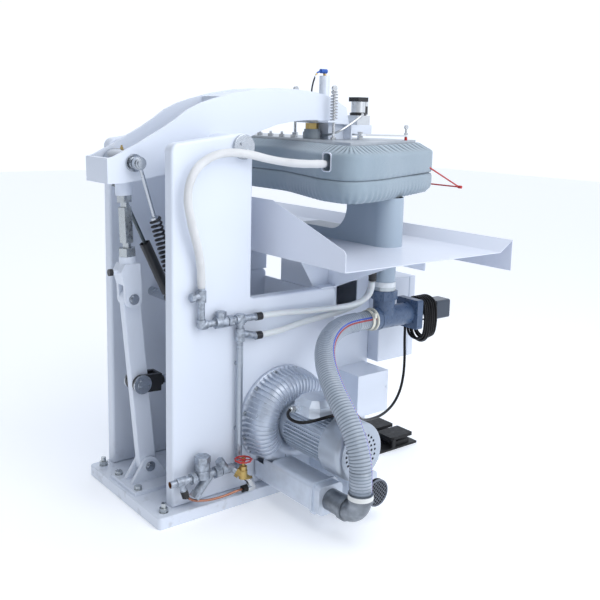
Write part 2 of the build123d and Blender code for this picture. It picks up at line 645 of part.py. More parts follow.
# Head arm: a channel of bent plate, open on top behind the cover, with its hub
arm_top = [
    (523, 1120), (502, 1125), (465, 1143), (422, 1164), (380, 1188), (336, 1211), (291, 1239),
    (250, 1268), (203, 1290), (152, 1306), (79, 1325), (-21, 1342), (-100, 1347), (-182, 1346),
    (-267, 1339), (-325, 1327), (-374, 1308), (-412, 1288),
]
arm_bottom = [
    (-427, 1228), (-302, 1233), (-276, 1243), (-213, 1241), (-157, 1235), (-103, 1226), (-34, 1204),
    (11, 1183), (95, 1140), (150, 1104), (240, 1082), (334, 1067), (380, 1059), (424, 1051), (477, 1044),
    (522, 1044),
]
ARM_FLOOR = 8.5
ARM_REAR_Y = 523
ARM_NOSE_Y = -404
SLOT_HALF_WIDTH = 33
slot_rear_y = TRUNNION_Y + 38
slot_front_y = TRUNNION_Y - 56
hub_end = plate_inner_x - FACE_GAP
with BuildPart() as arm_channel:
    side_profile(arm_top + arm_bottom, -ARM_HALF_WIDTH, ARM_HALF_WIDTH)
    inner_floor = [(max(y, ARM_NOSE_Y), z + ARM_FLOOR) for y, z in arm_bottom]
    inner_floor[-1] = (ARM_REAR_Y - ARM_WALL, inner_floor[-1][1])
    side_profile(inner_floor + [(ARM_REAR_Y - ARM_WALL, 1400), (ARM_NOSE_Y, 1400)],
                 -ARM_HALF_WIDTH + ARM_WALL, ARM_HALF_WIDTH - ARM_WALL, mode=Mode.SUBTRACT)
    block((-SLOT_HALF_WIDTH, slot_front_y, 1000), (SLOT_HALF_WIDTH, slot_rear_y, 1100), mode=Mode.SUBTRACT)
    cross_pin(PIVOT_Y, PIVOT_Z, HUB_R, -hub_end, hub_end)
    cross_pin(PIVOT_Y, PIVOT_Z, PIVOT_R + RUN_FIT, -hub_end - 1, hub_end + 1, mode=Mode.SUBTRACT)
    cross_pin(TRUNNION_Y, TRUNNION_Z, PIN_R + SEAT_GAP, -ARM_HALF_WIDTH - 1, ARM_HALF_WIDTH + 1,
              mode=Mode.SUBTRACT)
finish(arm_channel, "arm_channel")

# Cover plate between the cheeks, over the front of the arm
cover_line = [(y, z - 4) for y, z in arm_top if -400 < y < COVER_REAR_Y]
cover_line = [(COVER_REAR_Y, 1314)] + cover_line
cover_half = ARM_HALF_WIDTH - ARM_WALL - SEAT_GAP
TOP_CYLINDER_Y = -368
TOP_CYLINDER_R = 19
AIR_TUBE_R = 3
AIR_TUBE_END = (0, TOP_CYLINDER_Y + 62, 1300)
with BuildPart() as arm_cover:
    side_profile(cover_line + [(y, z - COVER_THICKNESS) for y, z in reversed(cover_line)],
                 -cover_half, cover_half)
    block((-cover_half, COVER_REAR_Y - COVER_THICKNESS, 1279), (cover_half, COVER_REAR_Y, 1312))
    bar((30, COVER_REAR_Y, 1296), (30, COVER_REAR_Y + 4, 1296), 6)
    bar((0, TOP_CYLINDER_Y, 1280), (0, TOP_CYLINDER_Y, 1360), TOP_CYLINDER_R + SEAT_GAP, mode=Mode.SUBTRACT)
    bar((0, AIR_TUBE_END[1] - 2, 1280), (0, AIR_TUBE_END[1] - 2, 1360), AIR_TUBE_R + 4, mode=Mode.SUBTRACT)
finish(arm_cover, "arm_cover")

# Trunnion studs in the arm's cheeks; the near one also carries the spring rod
spring_eye_out = SPRING_X - EYE_HALF
lug_in = DAMPER_X + EYE_HALF + FACE_GAP
with BuildPart() as trunnion_studs:
    for side in (-1, 1):
        cross_pin(TRUNNION_Y, TRUNNION_Z, PIN_R, side * (barrel_half + FACE_GAP), side * (ARM_HALF_WIDTH + 18))
        cross_pin(TRUNNION_Y, TRUNNION_Z, BOSS_R, side * ARM_HALF_WIDTH, side * (ARM_HALF_WIDTH + 8))
        cross_pin(TRUNNION_Y, TRUNNION_Z, RING_R, side * (ARM_HALF_WIDTH + 8), side * (ARM_HALF_WIDTH + 14))
    cross_pin(TRUNNION_Y, TRUNNION_Z, PIN_R, -ARM_HALF_WIDTH - 18, spring_eye_out - 10)
    cross_pin(TRUNNION_Y, TRUNNION_Z, RING_R, spring_eye_out - 0.3, spring_eye_out - 6)
    side_profile([(DAMPER_HEAD_Y - 14, DAMPER_HEAD_Z - 10), (DAMPER_HEAD_Y + 14, DAMPER_HEAD_Z - 10),
                  (DAMPER_HEAD_Y + 14, 1048.5), (DAMPER_HEAD_Y - 14, 1053)], lug_in, lug_in + 10)
    cross_pin(DAMPER_HEAD_Y, DAMPER_HEAD_Z, EYE_PIN_R, DAMPER_X - EYE_HALF - 5, lug_in + 13)
finish(trunnion_studs, "trunnion_studs")


def along(foot_y, foot_z, head_y, head_z, x):
    """Function that gives points on the line from a foot to a head, by distance."""
    foot = Vector(x, foot_y, foot_z)
    way = (Vector(x, head_y, head_z) - foot).normalized()
    return lambda distance: foot + way * distance


# Return spring: a rod hooked on the arm's stud, and a coil held at its foot
spring_at = along(SPRING_FOOT_Y, SPRING_FOOT_Z, TRUNNION_Y, TRUNNION_Z, SPRING_X)
spring_way = (spring_at(1) - spring_at(0)).normalized()
spring_span = hypot(TRUNNION_Y - SPRING_FOOT_Y, TRUNNION_Z - SPRING_FOOT_Z)
SPRING_START = 30
spring_end = SPRING_START + SPRING_COIL_LENGTH
with BuildPart() as spring_rod:
    cross_pin(TRUNNION_Y, TRUNNION_Z, EYE_R + 3, spring_eye_out + EYE_HALF * 2, spring_eye_out)
    bar(spring_at(spring_end - 14), spring_at(spring_span - EYE_R), 6)
    bar(spring_at(spring_end - 14), spring_at(spring_end + 2), SPRING_COIL_R - SPRING_WIRE_R - 0.4)
    cross_pin(TRUNNION_Y, TRUNNION_Z, PIN_R + RUN_FIT, spring_eye_out + 30, spring_eye_out - 30,
              mode=Mode.SUBTRACT)
finish(spring_rod, "spring_rod")

with BuildPart() as return_spring:
    coil_points, coil_ways = helix_points(spring_at(SPRING_START), spring_way, Vector(1, 0, 0),
                                          SPRING_COIL_R, SPRING_COIL_LENGTH, SPRING_TURNS)
    wound_tube(coil_points, coil_ways, SPRING_WIRE_R, "return spring")
finish(return_spring, "return_spring")

with BuildPart() as spring_foot:
    cross_pin(SPRING_FOOT_Y, SPRING_FOOT_Z, EYE_R, SPRING_X - EYE_HALF, SPRING_X + EYE_HALF)
    bar(spring_at(EYE_R - 3), spring_at(EYE_R + 7), EYE_HALF - 1)
    bar(spring_at(EYE_R + 6), spring_at(SPRING_START + 14), SPRING_COIL_R - SPRING_WIRE_R - 0.4)
    cross_pin(SPRING_FOOT_Y, SPRING_FOOT_Z, EYE_PIN_R + RUN_FIT, SPRING_X - 20, SPRING_X + 20,
              mode=Mode.SUBTRACT)
finish(spring_foot, "spring_foot")

# Damper: a tube pivoted on the far side plate and a rod pivoted under the arm
damper_at = along(DAMPER_FOOT_Y, DAMPER_FOOT_Z, DAMPER_HEAD_Y, DAMPER_HEAD_Z, DAMPER_X)
damper_span = hypot(DAMPER_HEAD_Y - DAMPER_FOOT_Y, DAMPER_HEAD_Z - DAMPER_FOOT_Z)
with BuildPart() as damper_tube:
    cross_pin(DAMPER_FOOT_Y, DAMPER_FOOT_Z, EYE_R, DAMPER_X - EYE_HALF, DAMPER_X + EYE_HALF)
    bar(damper_at(EYE_R - 3), damper_at(EYE_R + 6), EYE_HALF - 1)
    bar(damper_at(EYE_R + 5), damper_at(DAMPER_TUBE_LENGTH), DAMPER_TUBE_R)
    bar(damper_at(EYE_R + 12), damper_at(DAMPER_TUBE_LENGTH + 1), DAMPER_BORE_R, mode=Mode.SUBTRACT)
    cross_pin(DAMPER_FOOT_Y, DAMPER_FOOT_Z, EYE_PIN_R + RUN_FIT, DAMPER_X - 40, DAMPER_X + 40,
              mode=Mode.SUBTRACT)
finish(damper_tube, "damper_tube")

with BuildPart() as damper_rod:
    cross_pin(DAMPER_HEAD_Y, DAMPER_HEAD_Z, EYE_R - 3, DAMPER_X - EYE_HALF, DAMPER_X + EYE_HALF)
    bar(damper_at(DAMPER_TUBE_LENGTH - 45), damper_at(damper_span - 10), DAMPER_ROD_R)
    cross_pin(DAMPER_HEAD_Y, DAMPER_HEAD_Z, EYE_PIN_R + RUN_FIT, DAMPER_X - 20, DAMPER_X + 20,
              mode=Mode.SUBTRACT)
finish(damper_rod, "damper_rod")

# Closing cylinder, pivoted on its cross shaft, with its rod and fork
stroke_at = along(CYLINDER_PIVOT_Y, CYLINDER_PIVOT_Z, FORK_PIN_Y, FORK_PIN_Z, 0)
stroke_way = (stroke_at(1) - stroke_at(0)).normalized()
stroke_span = hypot(FORK_PIN_Y - CYLINDER_PIVOT_Y, FORK_PIN_Z - CYLINDER_PIVOT_Z)
CYLINDER_BACK = 34
CYLINDER_FRONT = 352
CAP_LENGTH = 30
CYLINDER_BORE_R = 50
TIE_ROD_SPREAD = 46


def square_bar(start, way, length, width, height, mode=Mode.ADD):
    """Add a bar of rectangular section whose width lies along X."""
    with BuildSketch(Plane(origin=start, x_dir=(1, 0, 0), z_dir=way)) as section:
        Rectangle(width, height)
    extrude(section.sketch, amount=length, mode=mode)


with BuildPart() as air_cylinder:
    cross_pin(CYLINDER_PIVOT_Y, CYLINDER_PIVOT_Z, 24, -20, 20)
    square_bar(stroke_at(10), stroke_way, CYLINDER_BACK - 9, 40, 36)
    for start in (CYLINDER_BACK, CYLINDER_FRONT - CAP_LENGTH):
        square_bar(stroke_at(start), stroke_way, CAP_LENGTH, CYLINDER_CAP, CYLINDER_CAP)
    bar(stroke_at(CYLINDER_BACK), stroke_at(CYLINDER_FRONT), CYLINDER_R)
    bar(stroke_at(CYLINDER_FRONT), stroke_at(CYLINDER_FRONT + 4), 24)
    for x in (-TIE_ROD_SPREAD, TIE_ROD_SPREAD):
        for lift in (-TIE_ROD_SPREAD, TIE_ROD_SPREAD):
            shift = Vector(x, -stroke_way.Z * lift, stroke_way.Y * lift)
            bar(stroke_at(CYLINDER_BACK - 6) + shift, stroke_at(CYLINDER_FRONT + 6) + shift, 5)
    bar(stroke_at(CYLINDER_BACK + CAP_LENGTH), stroke_at(CYLINDER_FRONT - CAP_LENGTH), CYLINDER_BORE_R,
        mode=Mode.SUBTRACT)
    bar(stroke_at(CYLINDER_FRONT - CAP_LENGTH - 1), stroke_at(CYLINDER_FRONT + 9), CYLINDER_ROD_R + RUN_FIT,
        mode=Mode.SUBTRACT)
    cross_pin(CYLINDER_PIVOT_Y, CYLINDER_PIVOT_Z, PIN_R + RUN_FIT, -30, 30, mode=Mode.SUBTRACT)
finish(air_cylinder, "air_cylinder")

FORK_BASE = 516
FORK_BRIDGE = 10
with BuildPart() as cylinder_rod:
    bar(stroke_at(280), stroke_at(FORK_BASE + 5), CYLINDER_ROD_R)
    bar(stroke_at(280), stroke_at(304), CYLINDER_BORE_R - 0.3)
    hex_bar(stroke_at(FORK_BASE - 12), stroke_at(FORK_BASE), 40)
    square_bar(stroke_at(FORK_BASE), stroke_way, FORK_BRIDGE, 2 * fork_ear_out, 2 * FORK_EAR_R)
    for side in (-1, 1):
        ear_middle = Vector(side * (fork_ear_in + fork_ear_out) / 2, 0, 0)
        square_bar(stroke_at(FORK_BASE) + ear_middle, stroke_way, stroke_span - FORK_BASE, EAR_THICKNESS,
                   2 * FORK_EAR_R)
        cross_pin(FORK_PIN_Y, FORK_PIN_Z, FORK_EAR_R, side * fork_ear_in, side * fork_ear_out)
    cross_pin(FORK_PIN_Y, FORK_PIN_Z, PIN_R + FORK_CLEARANCE, -60, 60, mode=Mode.SUBTRACT)
finish(cylinder_rod, "cylinder_rod")

# Work tray: one folded sheet with a sloped rear wall and a raised front lip
with BuildPart() as work_tray:
    side_profile([(TRAY_REAR_Y + TRAY_SHEET, TRAY_Z), (TRAY_FRONT_Y, TRAY_Z), (TRAY_LIP_Y, TRAY_LIP_Z),
                  (TRAY_LIP_Y, TRAY_FLAP_Z), (TRAY_LIP_Y - TRAY_SHEET, TRAY_FLAP_Z),
                  (TRAY_LIP_Y - TRAY_SHEET, TRAY_LIP_Z + TRAY_SHEET), (TRAY_FRONT_Y, TRAY_Z + TRAY_SHEET),
                  (TRAY_REAR_Y + TRAY_SHEET, TRAY_Z + TRAY_SHEET)], TRAY_NEAR_X, TRAY_FAR_X)
    tray_slope = TRAY_SLOPE_X - TRAY_NEAR_X
    front_profile([(TRAY_NEAR_X, TRAY_Z), (TRAY_FAR_X, TRAY_Z), (TRAY_FAR_X, TRAY_END_TOP - 10),
                   (TRAY_FAR_X - 8, TRAY_END_TOP), (TRAY_FAR_X - tray_slope, TRAY_WALL_TOP),
                   (TRAY_SLOPE_X, TRAY_WALL_TOP), (TRAY_NEAR_X + 8, TRAY_END_TOP),
                   (TRAY_NEAR_X, TRAY_END_TOP - 10)], TRAY_REAR_Y + TRAY_SHEET, TRAY_REAR_Y)
    bar((DUCT_X, DUCT_Y, TRAY_Z - 1), (DUCT_X, DUCT_Y, TRAY_Z + 5), VACUUM_PIPE_R + SEAT_GAP,
        mode=Mode.SUBTRACT)
finish(work_tray, "work_tray")

# Brackets under the tray: folded gussets on the side plates and a cross angle
GUSSET_Y = PLATE_FRONT_Y + 4
GUSSET_OUT_X = 560
ANGLE_Y = -345
ANGLE_DEPTH = 36
with BuildPart() as tray_brackets:
    for side in (-1, 1):
        foot_x = side * FRAME_HALF_WIDTH
        front_profile([(foot_x, PLATE_STEP_Z), (side * (FRAME_HALF_WIDTH - 40), PLATE_STEP_Z),
                       (side * (FRAME_HALF_WIDTH - 40), TRAY_Z), (side * GUSSET_OUT_X, TRAY_Z)],
                      GUSSET_Y, GUSSET_Y - SHEET_WALL)
        block((min(foot_x - 4, foot_x - side * 40), GUSSET_Y - SHEET_WALL, PLATE_STEP_Z),
              (max(foot_x + 4, foot_x - side * 40), GUSSET_Y + 66, PLATE_STEP_Z + SHEET_WALL))
        side_profile([(GUSSET_Y - SHEET_WALL, PLATE_STEP_Z), (GUSSET_Y + 66, PLATE_STEP_Z),
                      (GUSSET_Y + 150, TRAY_Z), (GUSSET_Y - SHEET_WALL, TRAY_Z)],
                     foot_x - side * 40, foot_x - side * (40 + SHEET_WALL))
    for low_x, high_x in ((-GUSSET_OUT_X, -COLUMN_HALF_WIDTH), (COLUMN_HALF_WIDTH, GUSSET_OUT_X)):
        block((low_x, ANGLE_Y, TRAY_Z - ANGLE_DEPTH), (high_x, ANGLE_Y + SHEET_WALL, TRAY_Z))
        block((low_x, ANGLE_Y, TRAY_Z - SHEET_WALL), (high_x, GUSSET_Y, TRAY_Z))
finish(tray_brackets, "tray_brackets")

# Pedestal: a vacuum duct that stands on the tray and carries the buck
duct_half = DUCT_WIDTH / 2
duct_rear_y = DUCT_Y + duct_half
duct_low_z = TRAY_Z + TRAY_SHEET
VACUUM_PIPE_LOW_Z = 686


def duct_shape(inset, far_x, high_z, mode=Mode.ADD):
    """Add or cut the duct from its floor up to a height, drawn in by a wall."""
    half = duct_half - inset
    with BuildSketch(Plane.XY.offset(duct_low_z + inset)) as section:
        with BuildLine():
            ThreePointArc((DUCT_X, DUCT_Y + half), (DUCT_X - half, DUCT_Y), (DUCT_X, DUCT_Y - half))
            Polyline((DUCT_X, DUCT_Y - half), (far_x, DUCT_Y - half), (far_x, DUCT_Y + half),
                     (DUCT_X, DUCT_Y + half))
        make_face()
    extrude(section.sketch, amount=high_z - duct_low_z - inset, mode=mode)


with BuildPart() as pedestal_duct:
    duct_shape(0, DUCT_BEAM_END, BUCK_Z)
    rounded_profile([(DUCT_THROAT_X, BUCK_Z + 1), (DUCT_THROAT_X, DUCT_BEAM_TOP),
                     (DUCT_BEAM_END + 1, DUCT_BEAM_TOP), (DUCT_BEAM_END + 1, BUCK_Z + 1)],
                    [0.5, DUCT_THROAT_R, 0.5, 0.5],
                    Plane(origin=(0, DUCT_Y + duct_half + 1, 0), x_dir=(1, 0, 0), z_dir=(0, -1, 0)),
                    DUCT_WIDTH + 2, Mode.SUBTRACT)
    bar((DUCT_X, DUCT_Y, VACUUM_PIPE_LOW_Z), (DUCT_X, DUCT_Y, duct_low_z + 2), VACUUM_PIPE_R)
    duct_shape(DUCT_WALL, DUCT_THROAT_X - DUCT_WALL, BUCK_Z, mode=Mode.SUBTRACT)
    duct_shape(DUCT_WALL, DUCT_BEAM_END - DUCT_WALL, DUCT_BEAM_TOP - DUCT_WALL, mode=Mode.SUBTRACT)
    bar((DUCT_X, DUCT_Y, VACUUM_PIPE_LOW_Z), (DUCT_X, DUCT_Y, duct_low_z + 9), VACUUM_PIPE_R - DUCT_WALL,
        mode=Mode.SUBTRACT)
finish(pedestal_duct, "pedestal_duct")

# Outline shared by the buck and the head, seen from above
PRESS_CORNERS = [(700, -218), (40, -218), (-290, -112), (-445, -112), (-415, -280), (-195, -765),
                 (20, -740), (260, -622), (700, -622)]
PRESS_RADII = [150, 300, 200, 60, 400, 90, 200, 300, 150]


def press_outline(z, inset):
    """Face with the shared outline at a height, drawn in by an amount."""
    with BuildSketch(Plane.XY.offset(z)) as outline:
        with BuildLine():
            FilletPolyline(*PRESS_CORNERS, radius=PRESS_RADII, close=True)
        make_face()
        if inset:
            offset(amount=-inset)
    return outline.sketch.face()


def pad_shape(levels):
    """Add a pad through its outlines, each a height and how far it is drawn in."""
    loft([press_outline(z, inset) for z, inset in levels], ruled=True)


# Buck: a metal table on the duct, under its pad with a gathered hem
table_top_z = BUCK_Z + TABLE_THICKNESS
PAD_WRAP = 6
with BuildPart() as buck_table:
    extrude(press_outline(BUCK_Z, TABLE_INSET), amount=TABLE_THICKNESS)
    bar((DUCT_X, DUCT_Y, BUCK_Z - 1), (DUCT_X, DUCT_Y, table_top_z + 1), duct_half - DUCT_WALL - 2,
        mode=Mode.SUBTRACT)
finish(buck_table, "buck_table")

buck_top_z = SEAM_Z - FACE_GAP / 2
with BuildPart() as buck_pad:
    pad_shape([(BUCK_Z, TABLE_INSET - PAD_WRAP), (BUCK_Z + 8, 9), (BUCK_Z + 20, 3), (BUCK_Z + 40, 0),
               (buck_top_z - 9, 1), (buck_top_z - 2, 5), (buck_top_z, 12)])
    extrude(press_outline(BUCK_Z - 1, TABLE_INSET - SEAT_GAP), amount=TABLE_THICKNESS + 1 + SEAT_GAP,
            mode=Mode.SUBTRACT)
finish(buck_pad, "buck_pad")

# Head: a heated platen in a padded cover, with a notch for the steam inlet
head_low_z = SEAM_Z + FACE_GAP / 2
platen_top_z = HEAD_TOP + PLATEN_RISE
NOTCH_LOW = (-350, -200, 1085)
NOTCH_HIGH = (-310, -90, 1142)
SAFETY_R = 3
SAFETY_TRAVEL = 12
SAFETY_LEGS_X = (-230, 480)
SAFETY_Y = -866
SAFETY_Z = 999
SAFETY_SLOPE = 0.459
leg_way = Vector(0, 1, SAFETY_SLOPE).normalized()


def safety_leg(x, distance):
    """Point of a leg of the safety bar, by its distance from the front rod."""
    return Vector(x, SAFETY_Y, SAFETY_Z) + leg_way * distance


def leg_end(x):
    """Length of a leg: long enough to enter the side of the pad."""
    return 190 if x < 0 else 300


with BuildPart() as head_pad:
    pad_shape([(head_low_z, 10), (head_low_z + 5, 2), (head_low_z + 28, 0), (HEAD_TOP - 30, 2),
               (HEAD_TOP - 14, 7), (HEAD_TOP - 4, 18), (HEAD_TOP, 34)])
    extrude(press_outline(PLATEN_BOTTOM - SEAT_GAP, PLATEN_INSET - SEAT_GAP), amount=60, mode=Mode.SUBTRACT)
    block(NOTCH_LOW, NOTCH_HIGH, mode=Mode.SUBTRACT)
    for leg_x in SAFETY_LEGS_X:
        bar(safety_leg(leg_x, -20), safety_leg(leg_x, leg_end(leg_x) + SAFETY_TRAVEL + 3), SAFETY_R + FACE_GAP,
            mode=Mode.SUBTRACT)
finish(head_pad, "head_pad")

with BuildPart() as safety_bar:
    bar(safety_leg(SAFETY_LEGS_X[0], 0), safety_leg(SAFETY_LEGS_X[1], 0), SAFETY_R)
    for leg_x, outward in zip(SAFETY_LEGS_X, (-1, 1)):
        bar(safety_leg(leg_x, 0), safety_leg(leg_x, leg_end(leg_x)), SAFETY_R)
        corner = safety_leg(leg_x, 0)
        bar(corner - Vector(outward * SAFETY_R, 0, 0), corner + Vector(outward * 12, 0, 0), SAFETY_R + 3)
finish(safety_bar, "safety_bar")

# Platen with the steam inlet that shows in the notch of the pad
NIPPLE_X = (NOTCH_LOW[0] + NOTCH_HIGH[0]) / 2
NIPPLE_Z = 1108
NIPPLE_R = 10
NIPPLE_END_Y = -104
platen_edge_y = -112 - PLATEN_INSET
with BuildPart() as head_platen:
    extrude(press_outline(PLATEN_BOTTOM, PLATEN_INSET), amount=platen_top_z - PLATEN_BOTTOM)
    block((NIPPLE_X - 16, platen_edge_y - 24, NIPPLE_Z - 14), (NIPPLE_X + 16, platen_edge_y + 8, PLATEN_BOTTOM + 8))
    bar((NIPPLE_X, platen_edge_y, NIPPLE_Z), (NIPPLE_X, NIPPLE_END_Y, NIPPLE_Z), NIPPLE_R)
    hex_bar((NIPPLE_X, -152, NIPPLE_Z), (NIPPLE_X, -134, NIPPLE_Z), 28)
finish(head_platen, "head_platen")

# Mount between the arm's nose and the head, with brackets for the float springs
FLOAT_X = 110
FLOAT_Y = -323
FLOAT_SPRING_TURNS = 9
FLOAT_SPRING_R = 12
FLOAT_WIRE_R = 1.8
FLOAT_SPRING_LENGTH = 92
CHEEK_PLATE = 6
BAR_LOW_Z = 1190
BAR_THICKNESS = 6
MOUNT_REAR_Y = -350
MOUNT_FRONT_Y = -425


def arm_underside(y):
    """Height of the arm's lower outline at a place along it."""
    for (y_a, z_a), (y_b, z_b) in zip(arm_bottom, arm_bottom[1:]):
        if y_a <= y <= y_b:
            return z_a + (z_b - z_a) * (y - y_a) / (y_b - y_a)
    return arm_bottom[0][1]


float_plate_top = arm_underside(FLOAT_Y) + 10
float_plate_low = float_plate_top - CHEEK_PLATE
with BuildPart() as head_mount:
    side_profile([(MOUNT_REAR_Y, platen_top_z), (MOUNT_REAR_Y, arm_underside(MOUNT_REAR_Y)),
                  (MOUNT_FRONT_Y, arm_underside(MOUNT_FRONT_Y)), (MOUNT_FRONT_Y, platen_top_z)], -50, 50)
    block((-90, MOUNT_FRONT_Y - 6, platen_top_z), (50, MOUNT_FRONT_Y + 1, platen_top_z + 30))
    block((-90, -525, BAR_LOW_Z + BAR_THICKNESS), (-15, MOUNT_FRONT_Y, platen_top_z + 52))
    for side in (-1, 1):
        inner_x = side * ARM_HALF_WIDTH
        outer_x = side * (FLOAT_X + 20)
        block((min(inner_x, outer_x), FLOAT_Y - 25, float_plate_low),
              (max(inner_x, outer_x), FLOAT_Y + 42, float_plate_top))
        bar((side * FLOAT_X, FLOAT_Y, float_plate_low - 1), (side * FLOAT_X, FLOAT_Y, float_plate_top + 1),
            5 + SEAT_GAP, mode=Mode.SUBTRACT)
finish(head_mount, "head_mount")

spring_low_z = float_plate_top + FLOAT_WIRE_R
with BuildPart() as float_springs:
    for side in (-1, 1):
        spring_foot_point = Vector(side * FLOAT_X, FLOAT_Y, spring_low_z)
        turn_points, turn_ways = helix_points(spring_foot_point, Vector(0, 0, 1), Vector(1, 0, 0),
                                              FLOAT_SPRING_R, FLOAT_SPRING_LENGTH, FLOAT_SPRING_TURNS)
        wound_tube(turn_points, turn_ways, FLOAT_WIRE_R, "float spring")
finish(float_springs, "float_springs")

# Hardware on the head: eye bolts in the float springs, bolts, and two flat bars
EYE_BOLT_R = 5
eye_top_z = spring_low_z + FLOAT_SPRING_LENGTH + FLOAT_WIRE_R
ROW_SPOTS = [(90 + 85 * i, -300 - 10 * i) for i in range(5)]
FRONT_SPOTS = [(120 + 95 * i, -555) for i in range(4)]
BAR_END = (-197, -598)
BAR_ROOT = (-120, -470)
with BuildPart() as head_hardware:
    for side in (-1, 1):
        eye = (side * FLOAT_X, FLOAT_Y)
        bar((*eye, platen_top_z), (*eye, eye_top_z + 10), EYE_BOLT_R)
        hex_bar((*eye, platen_top_z), (*eye, platen_top_z + 8), 17)
        hex_bar((*eye, eye_top_z), (*eye, eye_top_z + 7), 20)
        bar((eye[0] - 4, FLOAT_Y, eye_top_z + 16), (eye[0] + 4, FLOAT_Y, eye_top_z + 16), 10)
    for x, y in ROW_SPOTS + FRONT_SPOTS:
        bar((x, y, platen_top_z), (x, y, platen_top_z + 20), 5)
        hex_bar((x, y, platen_top_z), (x, y, platen_top_z + 11), 19)
    block((-130, -461, BAR_LOW_Z), (80, -439, BAR_LOW_Z + BAR_THICKNESS))
    bar_way = Vector(BAR_END[0] - BAR_ROOT[0], BAR_END[1] - BAR_ROOT[1], 0)
    with BuildSketch(Plane(origin=(*BAR_ROOT, BAR_LOW_Z), x_dir=bar_way, z_dir=(0, 0, 1))) as long_bar:
        with Locations((bar_way.length / 2, 0)):
            SlotCenterToCenter(bar_way.length, 20)
    extrude(long_bar.sketch, amount=BAR_THICKNESS)
    for x, y in [(60, -450), (-112, -450)]:
        bar((x, y, platen_top_z), (x, y, BAR_LOW_Z + 12), 6)
        hex_bar((x, y, platen_top_z), (x, y, BAR_LOW_Z), 19)
        hex_bar((x, y, BAR_LOW_Z + BAR_THICKNESS), (x, y, BAR_LOW_Z + BAR_THICKNESS + 8), 17)
    bar((*BAR_END, platen_top_z), (*BAR_END, BAR_LOW_Z + 30), 4)
    bar((*BAR_END, platen_top_z), (*BAR_END, BAR_LOW_Z - 2), 5.5)
    hex_bar((*BAR_END, BAR_LOW_Z + BAR_THICKNESS), (*BAR_END, BAR_LOW_Z + BAR_THICKNESS + 7), 13)
    bar((BAR_END[0] - 3, BAR_END[1], BAR_LOW_Z + 34), (BAR_END[0] + 3, BAR_END[1], BAR_LOW_Z + 34), 8)
finish(head_hardware, "head_hardware")

# Steam fittings on the head: boss, union and a curved tube to the switch
BOSS_Y = -315
SWITCH_X = -52
SWITCH_Y = -490
switch_low_z = platen_top_z + 52
with BuildPart() as head_fittings:
    bar((0, BOSS_Y, platen_top_z), (0, BOSS_Y, platen_top_z + 24), 33)
    bar((0, BOSS_Y, platen_top_z + 24), (0, BOSS_Y, platen_top_z + 34), 29)
    hex_bar((0, BOSS_Y, platen_top_z + 34), (0, BOSS_Y, arm_underside(BOSS_Y - 25) - FACE_GAP), 42)
    cord([(38, -338, platen_top_z + 24), (24, -346, platen_top_z + 15), (-20, -336, platen_top_z + 12),
          (-64, -338, platen_top_z + 14), (-96, -368, platen_top_z + 30), (-106, -420, platen_top_z + 62),
          (-108, -458, platen_top_z + 86), (-100, -472.5, switch_low_z + 39),
          (-81.3, -479.3, switch_low_z + 39)], 4, "curved steam tube")
finish(head_fittings, "head_fittings")

# Pressure switch on its bracket
with BuildPart() as pressure_switch:
    block((SWITCH_X - 30, SWITCH_Y - 32, switch_low_z), (SWITCH_X + 30, SWITCH_Y + 30, switch_low_z + 34))
    bar((SWITCH_X, SWITCH_Y, switch_low_z + 34), (SWITCH_X, SWITCH_Y, switch_low_z + 44), 31)
    bar((SWITCH_X, SWITCH_Y, switch_low_z + 44), (SWITCH_X, SWITCH_Y, switch_low_z + 84), 26)
    block((SWITCH_X - 27, SWITCH_Y - 24, switch_low_z + 84), (SWITCH_X + 27, SWITCH_Y + 24, switch_low_z + 100))
    bar((SWITCH_X + 4, SWITCH_Y - 20, switch_low_z + 60), (SWITCH_X + 4, SWITCH_Y - 38, switch_low_z + 60), 6)
    bar((SWITCH_X + 4, SWITCH_Y - 41, switch_low_z + 38), (SWITCH_X + 4, SWITCH_Y - 41, switch_low_z + 97), 8)
finish(pressure_switch, "pressure_switch")


# Small cylinder on the arm's nose, with its push fitting and air tube
TOP_CYLINDER_Z = 1401
with BuildPart() as top_cylinder:
    bar((0, TOP_CYLINDER_Y, 1309), (0, TOP_CYLINDER_Y, TOP_CYLINDER_Z), TOP_CYLINDER_R)
    bar((0, TOP_CYLINDER_Y, arm_underside(TOP_CYLINDER_Y) + ARM_FLOOR + 1), (0, TOP_CYLINDER_Y, 1310), 12)
    bar((0, TOP_CYLINDER_Y, TOP_CYLINDER_Z), (0, TOP_CYLINDER_Y, TOP_CYLINDER_Z + 10), 6)
    bar((0, TOP_CYLINDER_Y - 8, TOP_CYLINDER_Z + 16), (0, TOP_CYLINDER_Y + 20, TOP_CYLINDER_Z + 16), 8)
    cord([(0, TOP_CYLINDER_Y + 19, TOP_CYLINDER_Z + 16), (0, TOP_CYLINDER_Y + 36, TOP_CYLINDER_Z + 10),
          (0, TOP_CYLINDER_Y + 52, TOP_CYLINDER_Z - 20), (0, TOP_CYLINDER_Y + 59, TOP_CYLINDER_Z - 50),
          AIR_TUBE_END], AIR_TUBE_R, "air tube")
finish(top_cylinder, "top_cylinder")

# Vacuum valve: a tee under the duct, with a flange for its cylinder
HOSE_PORT_Y = -375
FLANGE_Y = -556
UNION_LOW_Z = 622
VALVE_BORE_R = 34
flange_gap_y = FLANGE_Y - 20
VALVE_CAP_Y = -672
VALVE_END_Y = -742


def square_flange(side, y_from, y_to):
    """Add a square plate with rounded corners about the valve's axis."""
    with BuildSketch(Plane(origin=(DUCT_X, y_from, VALVE_Z), x_dir=(1, 0, 0), z_dir=(0, -1, 0))) as flange:
        RectangleRounded(side, side, 8)
    extrude(flange.sketch, amount=y_from - y_to)


